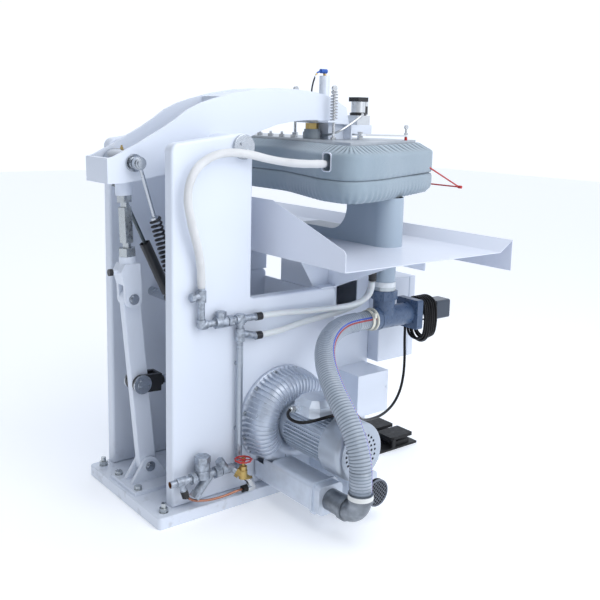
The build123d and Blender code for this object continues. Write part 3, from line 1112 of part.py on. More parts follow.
with BuildPart() as vacuum_valve:
    bar((DUCT_X, HOSE_PORT_Y, VALVE_Z), (DUCT_X, FLANGE_Y + 2, VALVE_Z), VALVE_BODY_R)
    bar((DUCT_X, HOSE_PORT_Y - 22, VALVE_Z), (DUCT_X, HOSE_PORT_Y - 28, VALVE_Z), VALVE_BODY_R + 1.5)
    bar((DUCT_X, DUCT_Y, VALVE_Z), (DUCT_X, DUCT_Y, VACUUM_PIPE_LOW_Z), VALVE_BODY_R - 1)
    with BuildSketch(Plane.XY.offset(UNION_LOW_Z)) as union_outline:
        with Locations((DUCT_X, DUCT_Y)):
            RegularPolygon(47, 8)
    extrude(union_outline.sketch, amount=32)
    square_flange(FLANGE_SIDE, FLANGE_Y + 8, FLANGE_Y)
    bar((DUCT_X, HOSE_PORT_Y + 1, VALVE_Z), (DUCT_X, FLANGE_Y - 1, VALVE_Z), VALVE_BORE_R, mode=Mode.SUBTRACT)
    bar((DUCT_X, DUCT_Y, VALVE_Z), (DUCT_X, DUCT_Y, VACUUM_PIPE_LOW_Z + 1), VALVE_BORE_R, mode=Mode.SUBTRACT)
finish(vacuum_valve, "vacuum_valve")

# Cylinder of the vacuum valve, with its flange, tie rods and square end cap
TIE_SPREAD = 27
VALVE_ROD_R = 6
valve_cylinder_bore = VALVE_CYLINDER_R - 3
with BuildPart() as valve_cylinder:
    square_flange(FLANGE_SIDE, FLANGE_Y, flange_gap_y)
    bar((DUCT_X, flange_gap_y + 1, VALVE_Z), (DUCT_X, VALVE_CAP_Y, VALVE_Z), VALVE_CYLINDER_R)
    square_flange(70, VALVE_CAP_Y, VALVE_END_Y)
    for x in (-TIE_SPREAD, TIE_SPREAD):
        for z in (-TIE_SPREAD, TIE_SPREAD):
            bar((DUCT_X + x, flange_gap_y + 1, VALVE_Z + z), (DUCT_X + x, VALVE_CAP_Y - 1, VALVE_Z + z), 3.5)
    bar((DUCT_X, flange_gap_y, VALVE_Z), (DUCT_X, VALVE_CAP_Y, VALVE_Z), valve_cylinder_bore, mode=Mode.SUBTRACT)
    bar((DUCT_X, FLANGE_Y + 1, VALVE_Z), (DUCT_X, flange_gap_y - 1, VALVE_Z), VALVE_ROD_R + RUN_FIT,
        mode=Mode.SUBTRACT)
finish(valve_cylinder, "valve_cylinder")

VALVE_STROKE = 45
with BuildPart() as valve_piston:
    bar((DUCT_X, DUCT_Y - 38, VALVE_Z), (DUCT_X, DUCT_Y - 46, VALVE_Z), VALVE_BORE_R - 0.5)
    bar((DUCT_X, DUCT_Y - 40, VALVE_Z), (DUCT_X, flange_gap_y - 40, VALVE_Z), VALVE_ROD_R)
    bar((DUCT_X, flange_gap_y - 30, VALVE_Z), (DUCT_X, flange_gap_y - 42, VALVE_Z), valve_cylinder_bore - 0.3)
finish(valve_piston, "valve_piston")

# Blower: a back disc and a ribbed ring channel round the impeller chamber
plate_x = -FRAME_HALF_WIDTH
DISC_THICKNESS = 14
disc_x = plate_x - DISC_THICKNESS
CHAMBER_R = 108
HUB_FACE_X = -330
SHAFT_R = 12
RIB_COUNT = 48
with BuildPart() as blower_housing:
    cross_pin(BLOWER_Y, BLOWER_Z, BLOWER_R, disc_x, plate_x)
    cross_pin(BLOWER_Y, BLOWER_Z, CHANNEL_R + CHANNEL_TUBE_R, HUB_FACE_X, disc_x + 1)
    fillet(blower_housing.edges().filter_by(GeomType.CIRCLE).group_by(Axis.X)[0], CHANNEL_TUBE_R - 8)
    taper_bar((HUB_FACE_X - 1, BLOWER_Y, BLOWER_Z), (HUB_FACE_X + 44, BLOWER_Y, BLOWER_Z), 88, 70,
              mode=Mode.SUBTRACT)
    cross_pin(BLOWER_Y, BLOWER_Z, CHAMBER_R, disc_x - 36, disc_x + 8, mode=Mode.SUBTRACT)
    for i in range(RIB_COUNT):
        angle = 2 * pi * i / RIB_COUNT
        if -0.62 < sin(angle):
            spoke_y = cos(angle)
            spoke_z = sin(angle)
            with BuildSketch(Plane(origin=(disc_x + 1, BLOWER_Y, BLOWER_Z), x_dir=(0, spoke_y, spoke_z),
                                   z_dir=(0, -spoke_z, spoke_y))) as rib:
                with Locations((BLOWER_R - 18, DISC_THICKNESS + 1)):
                    Rectangle(34, 4 * DISC_THICKNESS)
            extrude(rib.sketch, amount=2.4, both=True)
    cross_pin(BLOWER_Y, BLOWER_Z, SHAFT_R + RUN_FIT, HUB_FACE_X - 10, disc_x - 20, mode=Mode.SUBTRACT)
finish(blower_housing, "blower_housing")

# Motor: a finned casing on the blower, with its terminal box and cable gland
FIN_COUNT = 40
MOTOR_FRONT_X = HUB_FACE_X + 44
CORE_R = 52
BOX_MIDDLE = (-460, 7.5)
BOX_LOW_Z = 345
GLAND_X = -425
GLAND_Z = 366
with BuildPart() as motor_housing:
    cross_pin(BLOWER_Y, BLOWER_Z, MOTOR_R - 12, MOTOR_END_X, MOTOR_FRONT_X)
    for i in range(FIN_COUNT):
        angle = 2 * pi * i / FIN_COUNT
        with BuildSketch(Plane(origin=(HUB_FACE_X - 14, BLOWER_Y, BLOWER_Z),
                               x_dir=(0, cos(angle), sin(angle)), z_dir=(-1, 0, 0))) as fin:
            with Locations((MOTOR_R - 10, 0)):
                Rectangle(20, 2.6)
        extrude(fin.sketch, amount=HUB_FACE_X - 14 - MOTOR_END_X - 6)
    cross_pin(BLOWER_Y, BLOWER_Z, MOTOR_R, MOTOR_END_X, MOTOR_END_X + 10)
    block((-500, BLOWER_Y - 30, BLOWER_Z + MOTOR_R - 16), (-420, BLOWER_Y + 40, 345))
    cross_pin(BLOWER_Y, BLOWER_Z, CORE_R + 3, MOTOR_END_X + 20, MOTOR_FRONT_X - 50, mode=Mode.SUBTRACT)
    cross_pin(BLOWER_Y, BLOWER_Z, SHAFT_R + RUN_FIT, MOTOR_END_X - 1, MOTOR_FRONT_X + 1, mode=Mode.SUBTRACT)
    with BuildSketch(Plane.XY.offset(BOX_LOW_Z)) as box_floor:
        with Locations(BOX_MIDDLE):
            Rectangle(120, 125)
        chamfer(box_floor.vertices(), 24)
    extrude(box_floor.sketch, amount=33)
    with BuildSketch(Plane.XY.offset(378)) as lid_low:
        with Locations(BOX_MIDDLE):
            Rectangle(116, 121)
        chamfer(lid_low.vertices(), 23)
    with BuildSketch(Plane.XY.offset(396)) as lid_top:
        with Locations(BOX_MIDDLE):
            Rectangle(84, 88)
        chamfer(lid_top.vertices(), 16)
    loft([lid_low.sketch.face(), lid_top.sketch.face()], ruled=True)
    hex_bar((GLAND_X - 20, 60, GLAND_Z), (GLAND_X - 20, 80, GLAND_Z), 24)
    bar((GLAND_X - 20, 79, GLAND_Z), (GLAND_X - 20, 90, GLAND_Z), 9)
finish(motor_housing, "motor_housing")

# Fan cowl with rings of air holes in its end
COWL_WALL = 2.5
with BuildPart() as fan_cowl:
    cross_pin(BLOWER_Y, BLOWER_Z, COWL_R, COWL_END_X, MOTOR_END_X + 5)
    fillet(fan_cowl.edges().filter_by(GeomType.CIRCLE).group_by(Axis.X)[0], 18)
    cross_pin(BLOWER_Y, BLOWER_Z, COWL_R - COWL_WALL, COWL_END_X + 20, MOTOR_END_X + 6, mode=Mode.SUBTRACT)
    cross_pin(BLOWER_Y, BLOWER_Z, COWL_R - 18, COWL_END_X + COWL_WALL, COWL_END_X + 21, mode=Mode.SUBTRACT)
    for ring_r, holes in ((30, 12), (44, 18), (58, 24)):
        for i in range(holes):
            angle = 2 * pi * i / holes
            cross_pin(BLOWER_Y + ring_r * cos(angle), BLOWER_Z + ring_r * sin(angle), 4,
                      COWL_END_X - 1, COWL_END_X + COWL_WALL + 1, mode=Mode.SUBTRACT)
    for i in range(4):
        angle = pi / 4 + i * pi / 2
        cross_pin(BLOWER_Y + (COWL_R - 5) * cos(angle), BLOWER_Z + (COWL_R - 5) * sin(angle), 6.5,
                  MOTOR_END_X - 3, MOTOR_END_X + 5)
    with BuildSketch(Plane.YZ.offset(MOTOR_END_X - 3)) as seat_ring:
        with Locations((BLOWER_Y, BLOWER_Z)):
            Circle(COWL_R - 1)
            Circle(MOTOR_R + SEAT_GAP, mode=Mode.SUBTRACT)
    extrude(seat_ring.sketch, amount=8)
finish(fan_cowl, "fan_cowl")

# Rotor: impeller, shaft, motor core and cooling fan on one shaft
IMPELLER_R = 104
with BuildPart() as blower_rotor:
    cross_pin(BLOWER_Y, BLOWER_Z, SHAFT_R, COWL_END_X + 14, disc_x - 6)
    cross_pin(BLOWER_Y, BLOWER_Z, IMPELLER_R, disc_x - 32, disc_x - 4)
    cross_pin(BLOWER_Y, BLOWER_Z, CORE_R, MOTOR_END_X + 34, MOTOR_FRONT_X - 64)
    cross_pin(BLOWER_Y, BLOWER_Z, 26, COWL_END_X + 14, COWL_END_X + 44)
    for i in range(6):
        angle = 2 * pi * i / 6
        with BuildSketch(Plane(origin=(COWL_END_X + 18, BLOWER_Y, BLOWER_Z),
                               x_dir=(0, cos(angle), sin(angle)), z_dir=(1, 0, 0))) as blade:
            with Locations((44, 0)):
                Rectangle(48, 4)
        extrude(blade.sketch, amount=24)
finish(blower_rotor, "blower_rotor")

# Silencers under the blower, the second one ending in a mesh screen
SILENCER_END_X = -575
SCREEN_END_X = -560
SCREEN_Z = 96
with BuildPart() as silencers:
    for y, z, end_x in ((SILENCER_Y, SILENCER_Z, SILENCER_END_X), (SCREEN_Y, SCREEN_Z, SCREEN_END_X)):
        with BuildSketch(Plane.YZ.offset(end_x)) as silencer_section:
            with Locations((y, z)):
                RectangleRounded(SILENCER_SIDE, SILENCER_SIDE, 16)
        extrude(silencer_section.sketch, amount=disc_x + 2 - end_x)
        with BuildSketch(Plane.YZ.offset(end_x + 30)) as silencer_flange:
            with Locations((y, z)):
                RectangleRounded(SILENCER_SIDE + 12, SILENCER_SIDE + 12, 20)
        extrude(silencer_flange.sketch, amount=8)
        bar((end_x - 1, y, z), (end_x + 40, y, z), VALVE_BORE_R - 6, mode=Mode.SUBTRACT)
    block((disc_x - 90, SCREEN_Y, 62), (disc_x - 10, SILENCER_Y, 148))
    cross_pin(BLOWER_Y, BLOWER_Z, CHANNEL_R + CHANNEL_TUBE_R + SEAT_GAP, HUB_FACE_X - SEAT_GAP, plate_x,
              mode=Mode.SUBTRACT)
    cross_pin(BLOWER_Y, BLOWER_Z, BLOWER_R + SEAT_GAP, disc_x - 3 * DISC_THICKNESS - 2, plate_x,
              mode=Mode.SUBTRACT)
    cross_pin(SCREEN_Y, SCREEN_Z, 28 - SEAT_GAP, SCREEN_END_X + 38, SCREEN_END_X - 40)
    cross_pin(SCREEN_Y, SCREEN_Z, 44, SCREEN_END_X - 40, SCREEN_END_X - 52)
finish(silencers, "silencers")

# Galvanised elbow that carries the hose, and the fittings at both hose ends
ELBOW_X = -707
ELBOW_R = 38
ELBOW_BEND = 56
HOSE_END_Z = 178
neck_r = HOSE_BORE_R - SEAT_GAP
elbow_start_x = ELBOW_X + ELBOW_BEND
CLAMP_WALL = 2
clamp_r = HOSE_R + SEAT_GAP
with BuildPart() as hose_fittings:
    with BuildLine() as elbow_line:
        Line((SILENCER_END_X, SILENCER_Y, SILENCER_Z), (elbow_start_x, SILENCER_Y, SILENCER_Z))
        TangentArc((elbow_start_x, SILENCER_Y, SILENCER_Z), (ELBOW_X, SILENCER_Y, SILENCER_Z + ELBOW_BEND),
                   tangent=(-1, 0, 0))
    with BuildSketch(Plane(origin=(SILENCER_END_X, SILENCER_Y, SILENCER_Z), z_dir=(-1, 0, 0))) as elbow_section:
        Circle(ELBOW_R - 4)
    sweep(elbow_section.sketch, path=elbow_line.wire())
    cross_pin(SILENCER_Y, SILENCER_Z, 28 - SEAT_GAP, SILENCER_END_X + 38, SILENCER_END_X)
    cross_pin(SILENCER_Y, SILENCER_Z, ELBOW_R, elbow_start_x + 14, elbow_start_x - 4)
    bar((ELBOW_X, SILENCER_Y, SILENCER_Z + ELBOW_BEND - 8), (ELBOW_X, SILENCER_Y, HOSE_END_Z), ELBOW_R)
    bar((ELBOW_X, SILENCER_Y, SILENCER_Z + ELBOW_BEND), (ELBOW_X, SILENCER_Y, HOSE_END_Z + 30), neck_r)
    bar((DUCT_X, HOSE_PORT_Y, VALVE_Z), (DUCT_X, HOSE_PORT_Y + 6, VALVE_Z), VALVE_BODY_R + 1)
    bar((DUCT_X, HOSE_PORT_Y - 20, VALVE_Z), (DUCT_X, HOSE_PORT_Y, VALVE_Z), VALVE_BORE_R - SEAT_GAP)
    bar((DUCT_X, HOSE_PORT_Y, VALVE_Z), (DUCT_X, HOSE_PORT_Y + 44, VALVE_Z), neck_r)
    bar((DUCT_X, HOSE_PORT_Y - 21, VALVE_Z), (DUCT_X, HOSE_PORT_Y + 45, VALVE_Z), neck_r - 3, mode=Mode.SUBTRACT)
    bar((DUCT_X, HOSE_PORT_Y + 14, VALVE_Z), (DUCT_X, HOSE_PORT_Y + 26, VALVE_Z), clamp_r + CLAMP_WALL)
    block((DUCT_X - 42, HOSE_PORT_Y + 15, VALVE_Z + 14), (DUCT_X - 30, HOSE_PORT_Y + 25, VALVE_Z + 32))
    bar((DUCT_X, HOSE_PORT_Y + 13, VALVE_Z), (DUCT_X, HOSE_PORT_Y + 27, VALVE_Z), clamp_r, mode=Mode.SUBTRACT)
finish(hose_fittings, "hose_fittings")

# Vacuum hose: a ribbed tube with its bore, on straight runs and arcs
VACUUM_HOSE_ROUTE = [
    (-290, -369, 554), (-290, -283, 554), (-301, -213, 551), (-335, -145, 540), (-378, -88, 523),
    (-430, -42, 498), (-495, -6, 464), (-573, 24, 424), (-640, 35, 376), (-685, 39, 318),
    (-707, 40, 250), (-707, 40, 178),
]


def ribbed_hose(points, radius, bore_r, rib_height, ribs, name):
    """Loft a ribbed hose along a cord's route and cut its bore."""
    radii = cord_corners(points)
    with BuildLine() as route:
        FilletPolyline(*points, radius=radii)
    wire = route.wire()
    steady = Vector(1, 1, 0).normalized()
    plain = 2 * radius
    pitch = (wire.length - 2 * plain) / ribs
    levels = [(0, radius)]
    for i in range(ribs):
        start = plain + i * pitch
        levels += [(start, radius - rib_height), (start + pitch * 0.3, radius),
                   (start + pitch * 0.6, radius), (start + pitch * 0.9, radius - rib_height)]
    levels.append((wire.length - plain, radius))
    levels.append((wire.length, radius))
    rings = []
    for distance, ring_r in levels:
        share = distance / wire.length
        way = wire.tangent_at(share)
        across = (steady - way * way.dot(steady)).normalized()
        with BuildSketch(Plane(origin=wire.position_at(share), x_dir=across, z_dir=way)) as ring:
            Circle(ring_r)
        rings.append(ring.sketch.face())
    loft(rings, ruled=True)
    with BuildSketch(Plane(origin=points[0], z_dir=Vector(*points[1]) - Vector(*points[0]))) as bore:
        Circle(bore_r)
    sweep(bore.sketch, path=wire, mode=Mode.SUBTRACT)
    print(f"{name}: length {wire.length:.0f} mm, tightest bend {min(radii):.0f} mm, rib pitch {pitch:.1f} mm")


with BuildPart() as vacuum_hose:
    ribbed_hose(VACUUM_HOSE_ROUTE, HOSE_R, HOSE_BORE_R, HOSE_RIB_HEIGHT, HOSE_RIBS, "vacuum hose")
finish(vacuum_hose, "vacuum_hose")

# Cable of the motor, and its spare length coiled over the vacuum valve's cylinder
COIL_FIRST_Y = -592
COIL_PITCH = 11
COIL_HALF_WIDTH = 47
COIL_TOP_Z = 605.7
COIL_LOW_Z = 448
coil_middle_z = (COIL_TOP_Z + COIL_LOW_Z) / 2
coil_start = (DUCT_X + COIL_HALF_WIDTH, COIL_FIRST_Y, coil_middle_z)
MOTOR_CABLE_ROUTE = [
    (-445, 90, 366), (-445, 116, 366), (-466, 134, 356), (-498, 116, 350), (-528, 82, 352),
    (-538, 30, 356), (-535, -32, 354), (-517, -90, 338), (-482, -145, 305), (-440, -198, 268),
    (-395, -255, 238), (-362, -325, 217), (-332, -405, 206), (-302, -485, 216), (-277, -545, 250),
    (-258, -580, 303), (-248, -592, 365), (-243, -592, 430), coil_start,
]
with BuildPart() as motor_cable:
    cord(MOTOR_CABLE_ROUTE, CABLE_R, "motor cable")
    quarter_spots = [(COIL_HALF_WIDTH, coil_middle_z), (0, COIL_TOP_Z), (-COIL_HALF_WIDTH, coil_middle_z),
                     (0, COIL_LOW_Z)]
    quarter_ways = [(0, 1), (-1, 0), (0, -1), (1, 0)]
    loop_points = []
    loop_ways = []
    for step in range(4 * COIL_LOOPS + 4):
        x, z = quarter_spots[step % 4]
        way_x, way_z = quarter_ways[step % 4]
        advance = -COIL_PITCH / 4 * step
        loop_points.append(Vector(DUCT_X + x, COIL_FIRST_Y + advance, z))
        loop_ways.append(Vector(way_x, 0 if step == 0 else -COIL_PITCH / 400, way_z).normalized())
    wound_tube(loop_points, loop_ways, CABLE_R, "cable coil")
finish(motor_cable, "motor_cable")

# Steam line on the near side plate: inlet, trap, strainer and tees
LINE_X = -265
LINE_Z = 136
RISER_Y = 160
LOWER_TEE_Z = 573
UPPER_TEE_Z = 619
FERRULE_Y = 78
CHECK_Y = 232
ELBOW_Y = 303
HOSE_FOOT_Z = 735
TEE_R = 15
NUT_R = 18


branch_end = (LINE_X, 374, LINE_Z - 30)
stub_end = (LINE_X - 14.5, 188, LINE_Z - 10)


def run(points, radius, mode=Mode.ADD):
    """Add or cut a chain of straight pipes with ball corners."""
    for start, end in zip(points, points[1:]):
        bar(start, end, radius, mode)
    for corner in points[1:-1]:
        with Locations(tuple(corner)):
            Sphere(radius, mode=mode)


with BuildPart() as steam_pipework:
    run([(LINE_X, INLET_Y, LINE_Z), (LINE_X, 190, LINE_Z)], PIPE_R)
    run([(LINE_X, 400, LINE_Z), (LINE_X, 366, LINE_Z)], TEE_R)
    run([(LINE_X, 384, LINE_Z), branch_end], 11)
    hex_bar((LINE_X, 348, LINE_Z), (LINE_X, 333, LINE_Z), 34)
    bar((LINE_X, 306, LINE_Z - 6), (LINE_X, 306, LINE_Z + 46), 24)
    bar((LINE_X, 306, LINE_Z + 16), (LINE_X, 306, LINE_Z + 22), 26)
    hex_bar((LINE_X, 306, LINE_Z + 46), (LINE_X, 306, LINE_Z + 66), 44)
    run([(LINE_X, 278, LINE_Z), (LINE_X, 330, LINE_Z - 56)], 15)
    hex_bar((LINE_X, 325, LINE_Z - 50), (LINE_X, 337, LINE_Z - 64), 33)
    hex_bar((LINE_X, 262, LINE_Z), (LINE_X, 242, LINE_Z), 36)
    run([(LINE_X, 236, LINE_Z), (LINE_X, 196, LINE_Z)], TEE_R)
    run([(LINE_X, 217, LINE_Z), (LINE_X, 240, LINE_Z + 28)], 13)
    hex_bar((LINE_X, 236, LINE_Z + 23), (LINE_X, 246, LINE_Z + 35), 26)
    run([(LINE_X, 194, LINE_Z), (PIPE_X, RISER_Y, LINE_Z), (PIPE_X, RISER_Y, UPPER_TEE_Z)], PIPE_R)
    run([(LINE_X, 200, LINE_Z), stub_end], PIPE_R)
    run([(PIPE_X, RISER_Y, LOWER_TEE_Z - 26), (PIPE_X, RISER_Y, LOWER_TEE_Z + 16)], TEE_R)
    run([(PIPE_X, RISER_Y, LOWER_TEE_Z), (PIPE_X, FERRULE_Y + 20, LOWER_TEE_Z - 17)], 12)
    run([(PIPE_X, RISER_Y, UPPER_TEE_Z - 17), (PIPE_X, RISER_Y, UPPER_TEE_Z + 16)], TEE_R)
    run([(PIPE_X, FERRULE_Y + 20, UPPER_TEE_Z), (PIPE_X, ELBOW_Y, UPPER_TEE_Z), (PIPE_X, ELBOW_Y, HOSE_FOOT_Z)],
        PIPE_R)
    run([(PIPE_X, RISER_Y - 16, UPPER_TEE_Z), (PIPE_X, RISER_Y + 18, UPPER_TEE_Z)], TEE_R)
    hex_bar((PIPE_X, RISER_Y + 30, UPPER_TEE_Z), (PIPE_X, RISER_Y + 48, UPPER_TEE_Z), 32)
    bar((PIPE_X, CHECK_Y + 22, UPPER_TEE_Z), (PIPE_X, CHECK_Y - 20, UPPER_TEE_Z), 18)
    hex_bar((PIPE_X, CHECK_Y, UPPER_TEE_Z + 10), (PIPE_X, CHECK_Y, UPPER_TEE_Z + 34), 30)
    run([(PIPE_X, ELBOW_Y - 18, UPPER_TEE_Z), (PIPE_X, ELBOW_Y, UPPER_TEE_Z),
         (PIPE_X, ELBOW_Y, UPPER_TEE_Z + 18)], TEE_R)
    run([(PIPE_X, ELBOW_Y, HOSE_FOOT_Z - 44), (PIPE_X, ELBOW_Y, HOSE_FOOT_Z - 8)], TEE_R)
    run([(PIPE_X, ELBOW_Y, HOSE_FOOT_Z - 26), (PIPE_X, ELBOW_Y + 28, HOSE_FOOT_Z - 26)], 12)
    hex_bar((PIPE_X, ELBOW_Y + 26, HOSE_FOOT_Z - 26), (PIPE_X, ELBOW_Y + 38, HOSE_FOOT_Z - 26), 26)
    for z in (LOWER_TEE_Z - 17, UPPER_TEE_Z):
        bar((PIPE_X, FERRULE_Y + 24, z), (PIPE_X, FERRULE_Y, z), 13)
    for y, z in ((RISER_Y, 250), (RISER_Y, 470), (RISER_Y + 110, UPPER_TEE_Z)):
        bar((PIPE_X, y, z), (plate_x, y, z), 7)
    bar((LINE_X, 290, LINE_Z), (plate_x, 290, LINE_Z), 7)
    bar((LINE_X, INLET_Y + 1, LINE_Z), (LINE_X, INLET_Y - 50, LINE_Z), INLET_BORE_R, mode=Mode.SUBTRACT)
finish(steam_pipework, "steam_pipework")

# Brass valve, its chrome elbow and the nuts of the copper tube
VALVE_X = -294
STEM_Y = 172
STEM_TOP_Z = 174
WHEEL_Z = 164
STEM_R = 4.5
valve_inlet = (VALVE_X, STEM_Y + 4, LINE_Z - 20)
nut_end = tuple(near + 0.6 * (far - near) for near, far in zip(stub_end, valve_inlet))
with BuildPart() as steam_valve:
    hex_bar(stub_end, nut_end, 30)
    run([stub_end, valve_inlet, (VALVE_X, 147, 92)], 11)
    bar((VALVE_X, STEM_Y, LINE_Z - 32), (VALVE_X, STEM_Y, LINE_Z - 4), 14)
    hex_bar((VALVE_X, STEM_Y, LINE_Z - 4), (VALVE_X, STEM_Y, LINE_Z + 10), 22)
    bar((VALVE_X, STEM_Y, LINE_Z + 10), (VALVE_X, STEM_Y, STEM_TOP_Z), STEM_R)
    run([(VALVE_X, 150, 97), (VALVE_X, 136, 67), (VALVE_X, 158, 67)], 13)
finish(steam_valve, "steam_valve")

with BuildPart() as handwheel:
    with BuildSketch(Plane.XY.offset(WHEEL_Z)) as wheel_face:
        with Locations((VALVE_X, STEM_Y)):
            Circle(HANDWHEEL_R)
            Circle(HANDWHEEL_R - 5, mode=Mode.SUBTRACT)
            Circle(9)
            for i in range(3):
                Rectangle(4.5, 2 * HANDWHEEL_R - 4, rotation=60 * i)
    extrude(wheel_face.sketch, amount=6)
    bar((VALVE_X, STEM_Y, WHEEL_Z - 3), (VALVE_X, STEM_Y, STEM_TOP_Z + 2), STEM_R + RUN_FIT, mode=Mode.SUBTRACT)
finish(handwheel, "handwheel")

COPPER_R = 4
with BuildPart() as copper_tube:
    cord([(VALVE_X, 158, 67), (VALVE_X, 192, 67), (-286, 240, 57), (-278, 292, 55), (-270, 340, 64),
          (LINE_X, 366, 82), branch_end], COPPER_R, "copper tube")
    hex_bar((VALVE_X, 158, 67), (VALVE_X, 175, 67), 22)
    hex_bar((LINE_X, 366, 82), branch_end, 22)
finish(copper_tube, "copper_tube")

# Hoses from the steam line to the fittings under the tray
BUCK_FITTINGS = ((-300, -360), (-228, -424))
FITTING_LOW_Z = 695
STEAM_HOSE_ROUTE = [
    (-250, FERRULE_Y, UPPER_TEE_Z), (-250, -5, UPPER_TEE_Z), (-257, -110, 612), (-266, -223, 609), (-280, -300, 614),
    (-294, -345, 636), (-300, -360, 665), (-300, -360, FITTING_LOW_Z),
]
DRAIN_HOSE_ROUTE = [
    (-250, FERRULE_Y, 556), (-250, 15, 556), (-251, -90, 575), (-250, -230, 585), (-240, -320, 592),
    (-231, -388, 608), (-228, -424, 650), (-228, -424, FITTING_LOW_Z),
]
with BuildPart() as buck_hoses:
    cord(STEAM_HOSE_ROUTE, DRAIN_HOSE_R, "buck steam hose")
    cord(DRAIN_HOSE_ROUTE, DRAIN_HOSE_R, "buck drain hose")
    for x, y in BUCK_FITTINGS:
        bar((x, y, FITTING_LOW_Z), (x, y, FITTING_LOW_Z + 42), 14)
        bar((x, y, FITTING_LOW_Z + 40), (x, y, TRAY_Z), 9)
        hex_bar((x, y, TRAY_Z - 10), (x, y, TRAY_Z), 28)
finish(buck_hoses, "buck_hoses")

# Insulated steam hose from the line to the head
INSULATED_ROUTE = [
    (-250, ELBOW_Y, HOSE_FOOT_Z), (-250, ELBOW_Y, 778), (-257, 316, 850), (-262, 346, 936), (-262, 362, 1022),
    (-262, 340, 1088), (-262, 294, 1127), (-262, 227, 1146), (-264, 144, 1139), (-272, 71, 1121),
    (-298, 10, 1111), (NIPPLE_X, -45, NIPPLE_Z), (NIPPLE_X, NIPPLE_END_Y, NIPPLE_Z),
]
with BuildPart() as insulated_hose:
    cord(INSULATED_ROUTE, INSULATION_R, "insulated hose")
finish(insulated_hose, "insulated_hose")
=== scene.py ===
from math import atan2, cos, pi, radians, sin, tan

import bmesh
import bpy
from mathutils import Matrix, Vector, kdtree, noise


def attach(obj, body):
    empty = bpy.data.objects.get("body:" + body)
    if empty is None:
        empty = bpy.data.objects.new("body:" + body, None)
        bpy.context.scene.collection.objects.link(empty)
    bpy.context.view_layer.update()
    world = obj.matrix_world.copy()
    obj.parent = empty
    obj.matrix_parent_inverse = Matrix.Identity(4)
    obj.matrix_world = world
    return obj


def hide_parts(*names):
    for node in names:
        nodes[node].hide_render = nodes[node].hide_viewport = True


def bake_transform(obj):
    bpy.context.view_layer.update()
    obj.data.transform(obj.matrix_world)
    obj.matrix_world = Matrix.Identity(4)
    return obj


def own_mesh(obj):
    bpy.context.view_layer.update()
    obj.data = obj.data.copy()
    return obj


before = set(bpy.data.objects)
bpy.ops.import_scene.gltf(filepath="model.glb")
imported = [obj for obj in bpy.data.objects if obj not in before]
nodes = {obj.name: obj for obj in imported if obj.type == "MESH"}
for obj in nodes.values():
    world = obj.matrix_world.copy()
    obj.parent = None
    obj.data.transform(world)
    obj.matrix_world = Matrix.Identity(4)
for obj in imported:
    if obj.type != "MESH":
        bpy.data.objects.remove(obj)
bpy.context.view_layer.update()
scene = bpy.context.scene
MM = 0.001


def smooth_step(value, low, high):
    """0 up to low, 1 from high on, and a soft rise between them."""
    share = min(max((value - low) / (high - low), 0), 1)
    return share * share * (3 - 2 * share)


def in_scene(name, data):
    """A new object of the scene, at the origin."""
    thing = bpy.data.objects.new(name, data)
    scene.collection.objects.link(thing)
    return thing


# Camera at the photograph's angle
CAMERA_PLACE = (-2.366, 1.600, 1.265)
PITCH = radians(9.70)
YAW = radians(51.59)
ROLL = radians(1.35)
camera_data = bpy.data.cameras.new("camera")
camera_data.sensor_width = 36
camera_data.lens = 49.78
camera_data.shift_x = -0.001
camera_data.shift_y = -0.0747
camera_data.clip_end = 60
camera = in_scene("camera", camera_data)
scene.camera = camera
up = Vector((0, 0, 1))
level_way = Vector((sin(YAW), -cos(YAW), 0))
view_way = cos(PITCH) * level_way - sin(PITCH) * up
level_up = sin(PITCH) * level_way + cos(PITCH) * up
level_right = view_way.cross(level_up)
camera_right = cos(ROLL) * level_right + sin(ROLL) * level_up
camera_up = cos(ROLL) * level_up - sin(ROLL) * level_right
camera_turn = Matrix((camera_right, camera_up, -view_way)).transposed().to_4x4()
camera.matrix_world = Matrix.Translation(CAMERA_PLACE) @ camera_turn


def soft_light(name, place, aim, width, power):
    """Large square lamp at a place, turned towards a point."""
    lamp_data = bpy.data.lights.new(name, "AREA")
    lamp_data.size = width
    lamp_data.energy = power
    lamp = in_scene(name, lamp_data)
    lamp.location = place
    lamp.rotation_euler = (Vector(aim) - Vector(place)).to_track_quat("-Z", "Y").to_euler()


soft_light("overhead_softbox", (-2.0, 0.2, 3.3), (0, 0, 1.0), 2.4, 36)
soft_light("service_softbox", (-3.3, -1.1, 2.3), (-0.1, -0.1, 1.3), 1.9, 21)

# White surroundings, dimmer on the rear side, so that the metals show their shape
SKY_SPANS = {"From Min": -0.25, "From Max": 0.55, "To Min": 1.12, "To Max": 0.40}
world = bpy.data.worlds.new("studio")
world.use_nodes = True
sky = world.node_tree
sky_place = sky.nodes.new("ShaderNodeTexCoord")
sky_split = sky.nodes.new("ShaderNodeSeparateXYZ")
sky_share = sky.nodes.new("ShaderNodeMapRange")
sky_share.interpolation_type = "SMOOTHSTEP"
for name, value in SKY_SPANS.items():
    sky_share.inputs[name].default_value = value
sky.links.new(sky_place.outputs["Generated"], sky_split.inputs[0])
sky.links.new(sky_split.outputs["Y"], sky_share.inputs["Value"])
sky.links.new(sky_share.outputs["Result"], sky.nodes["Background"].inputs["Strength"])
sky.nodes["Background"].inputs["Color"].default_value = (0.90, 0.96, 1.06, 1)
scene.world = world
scene.view_settings.view_transform = "Standard"


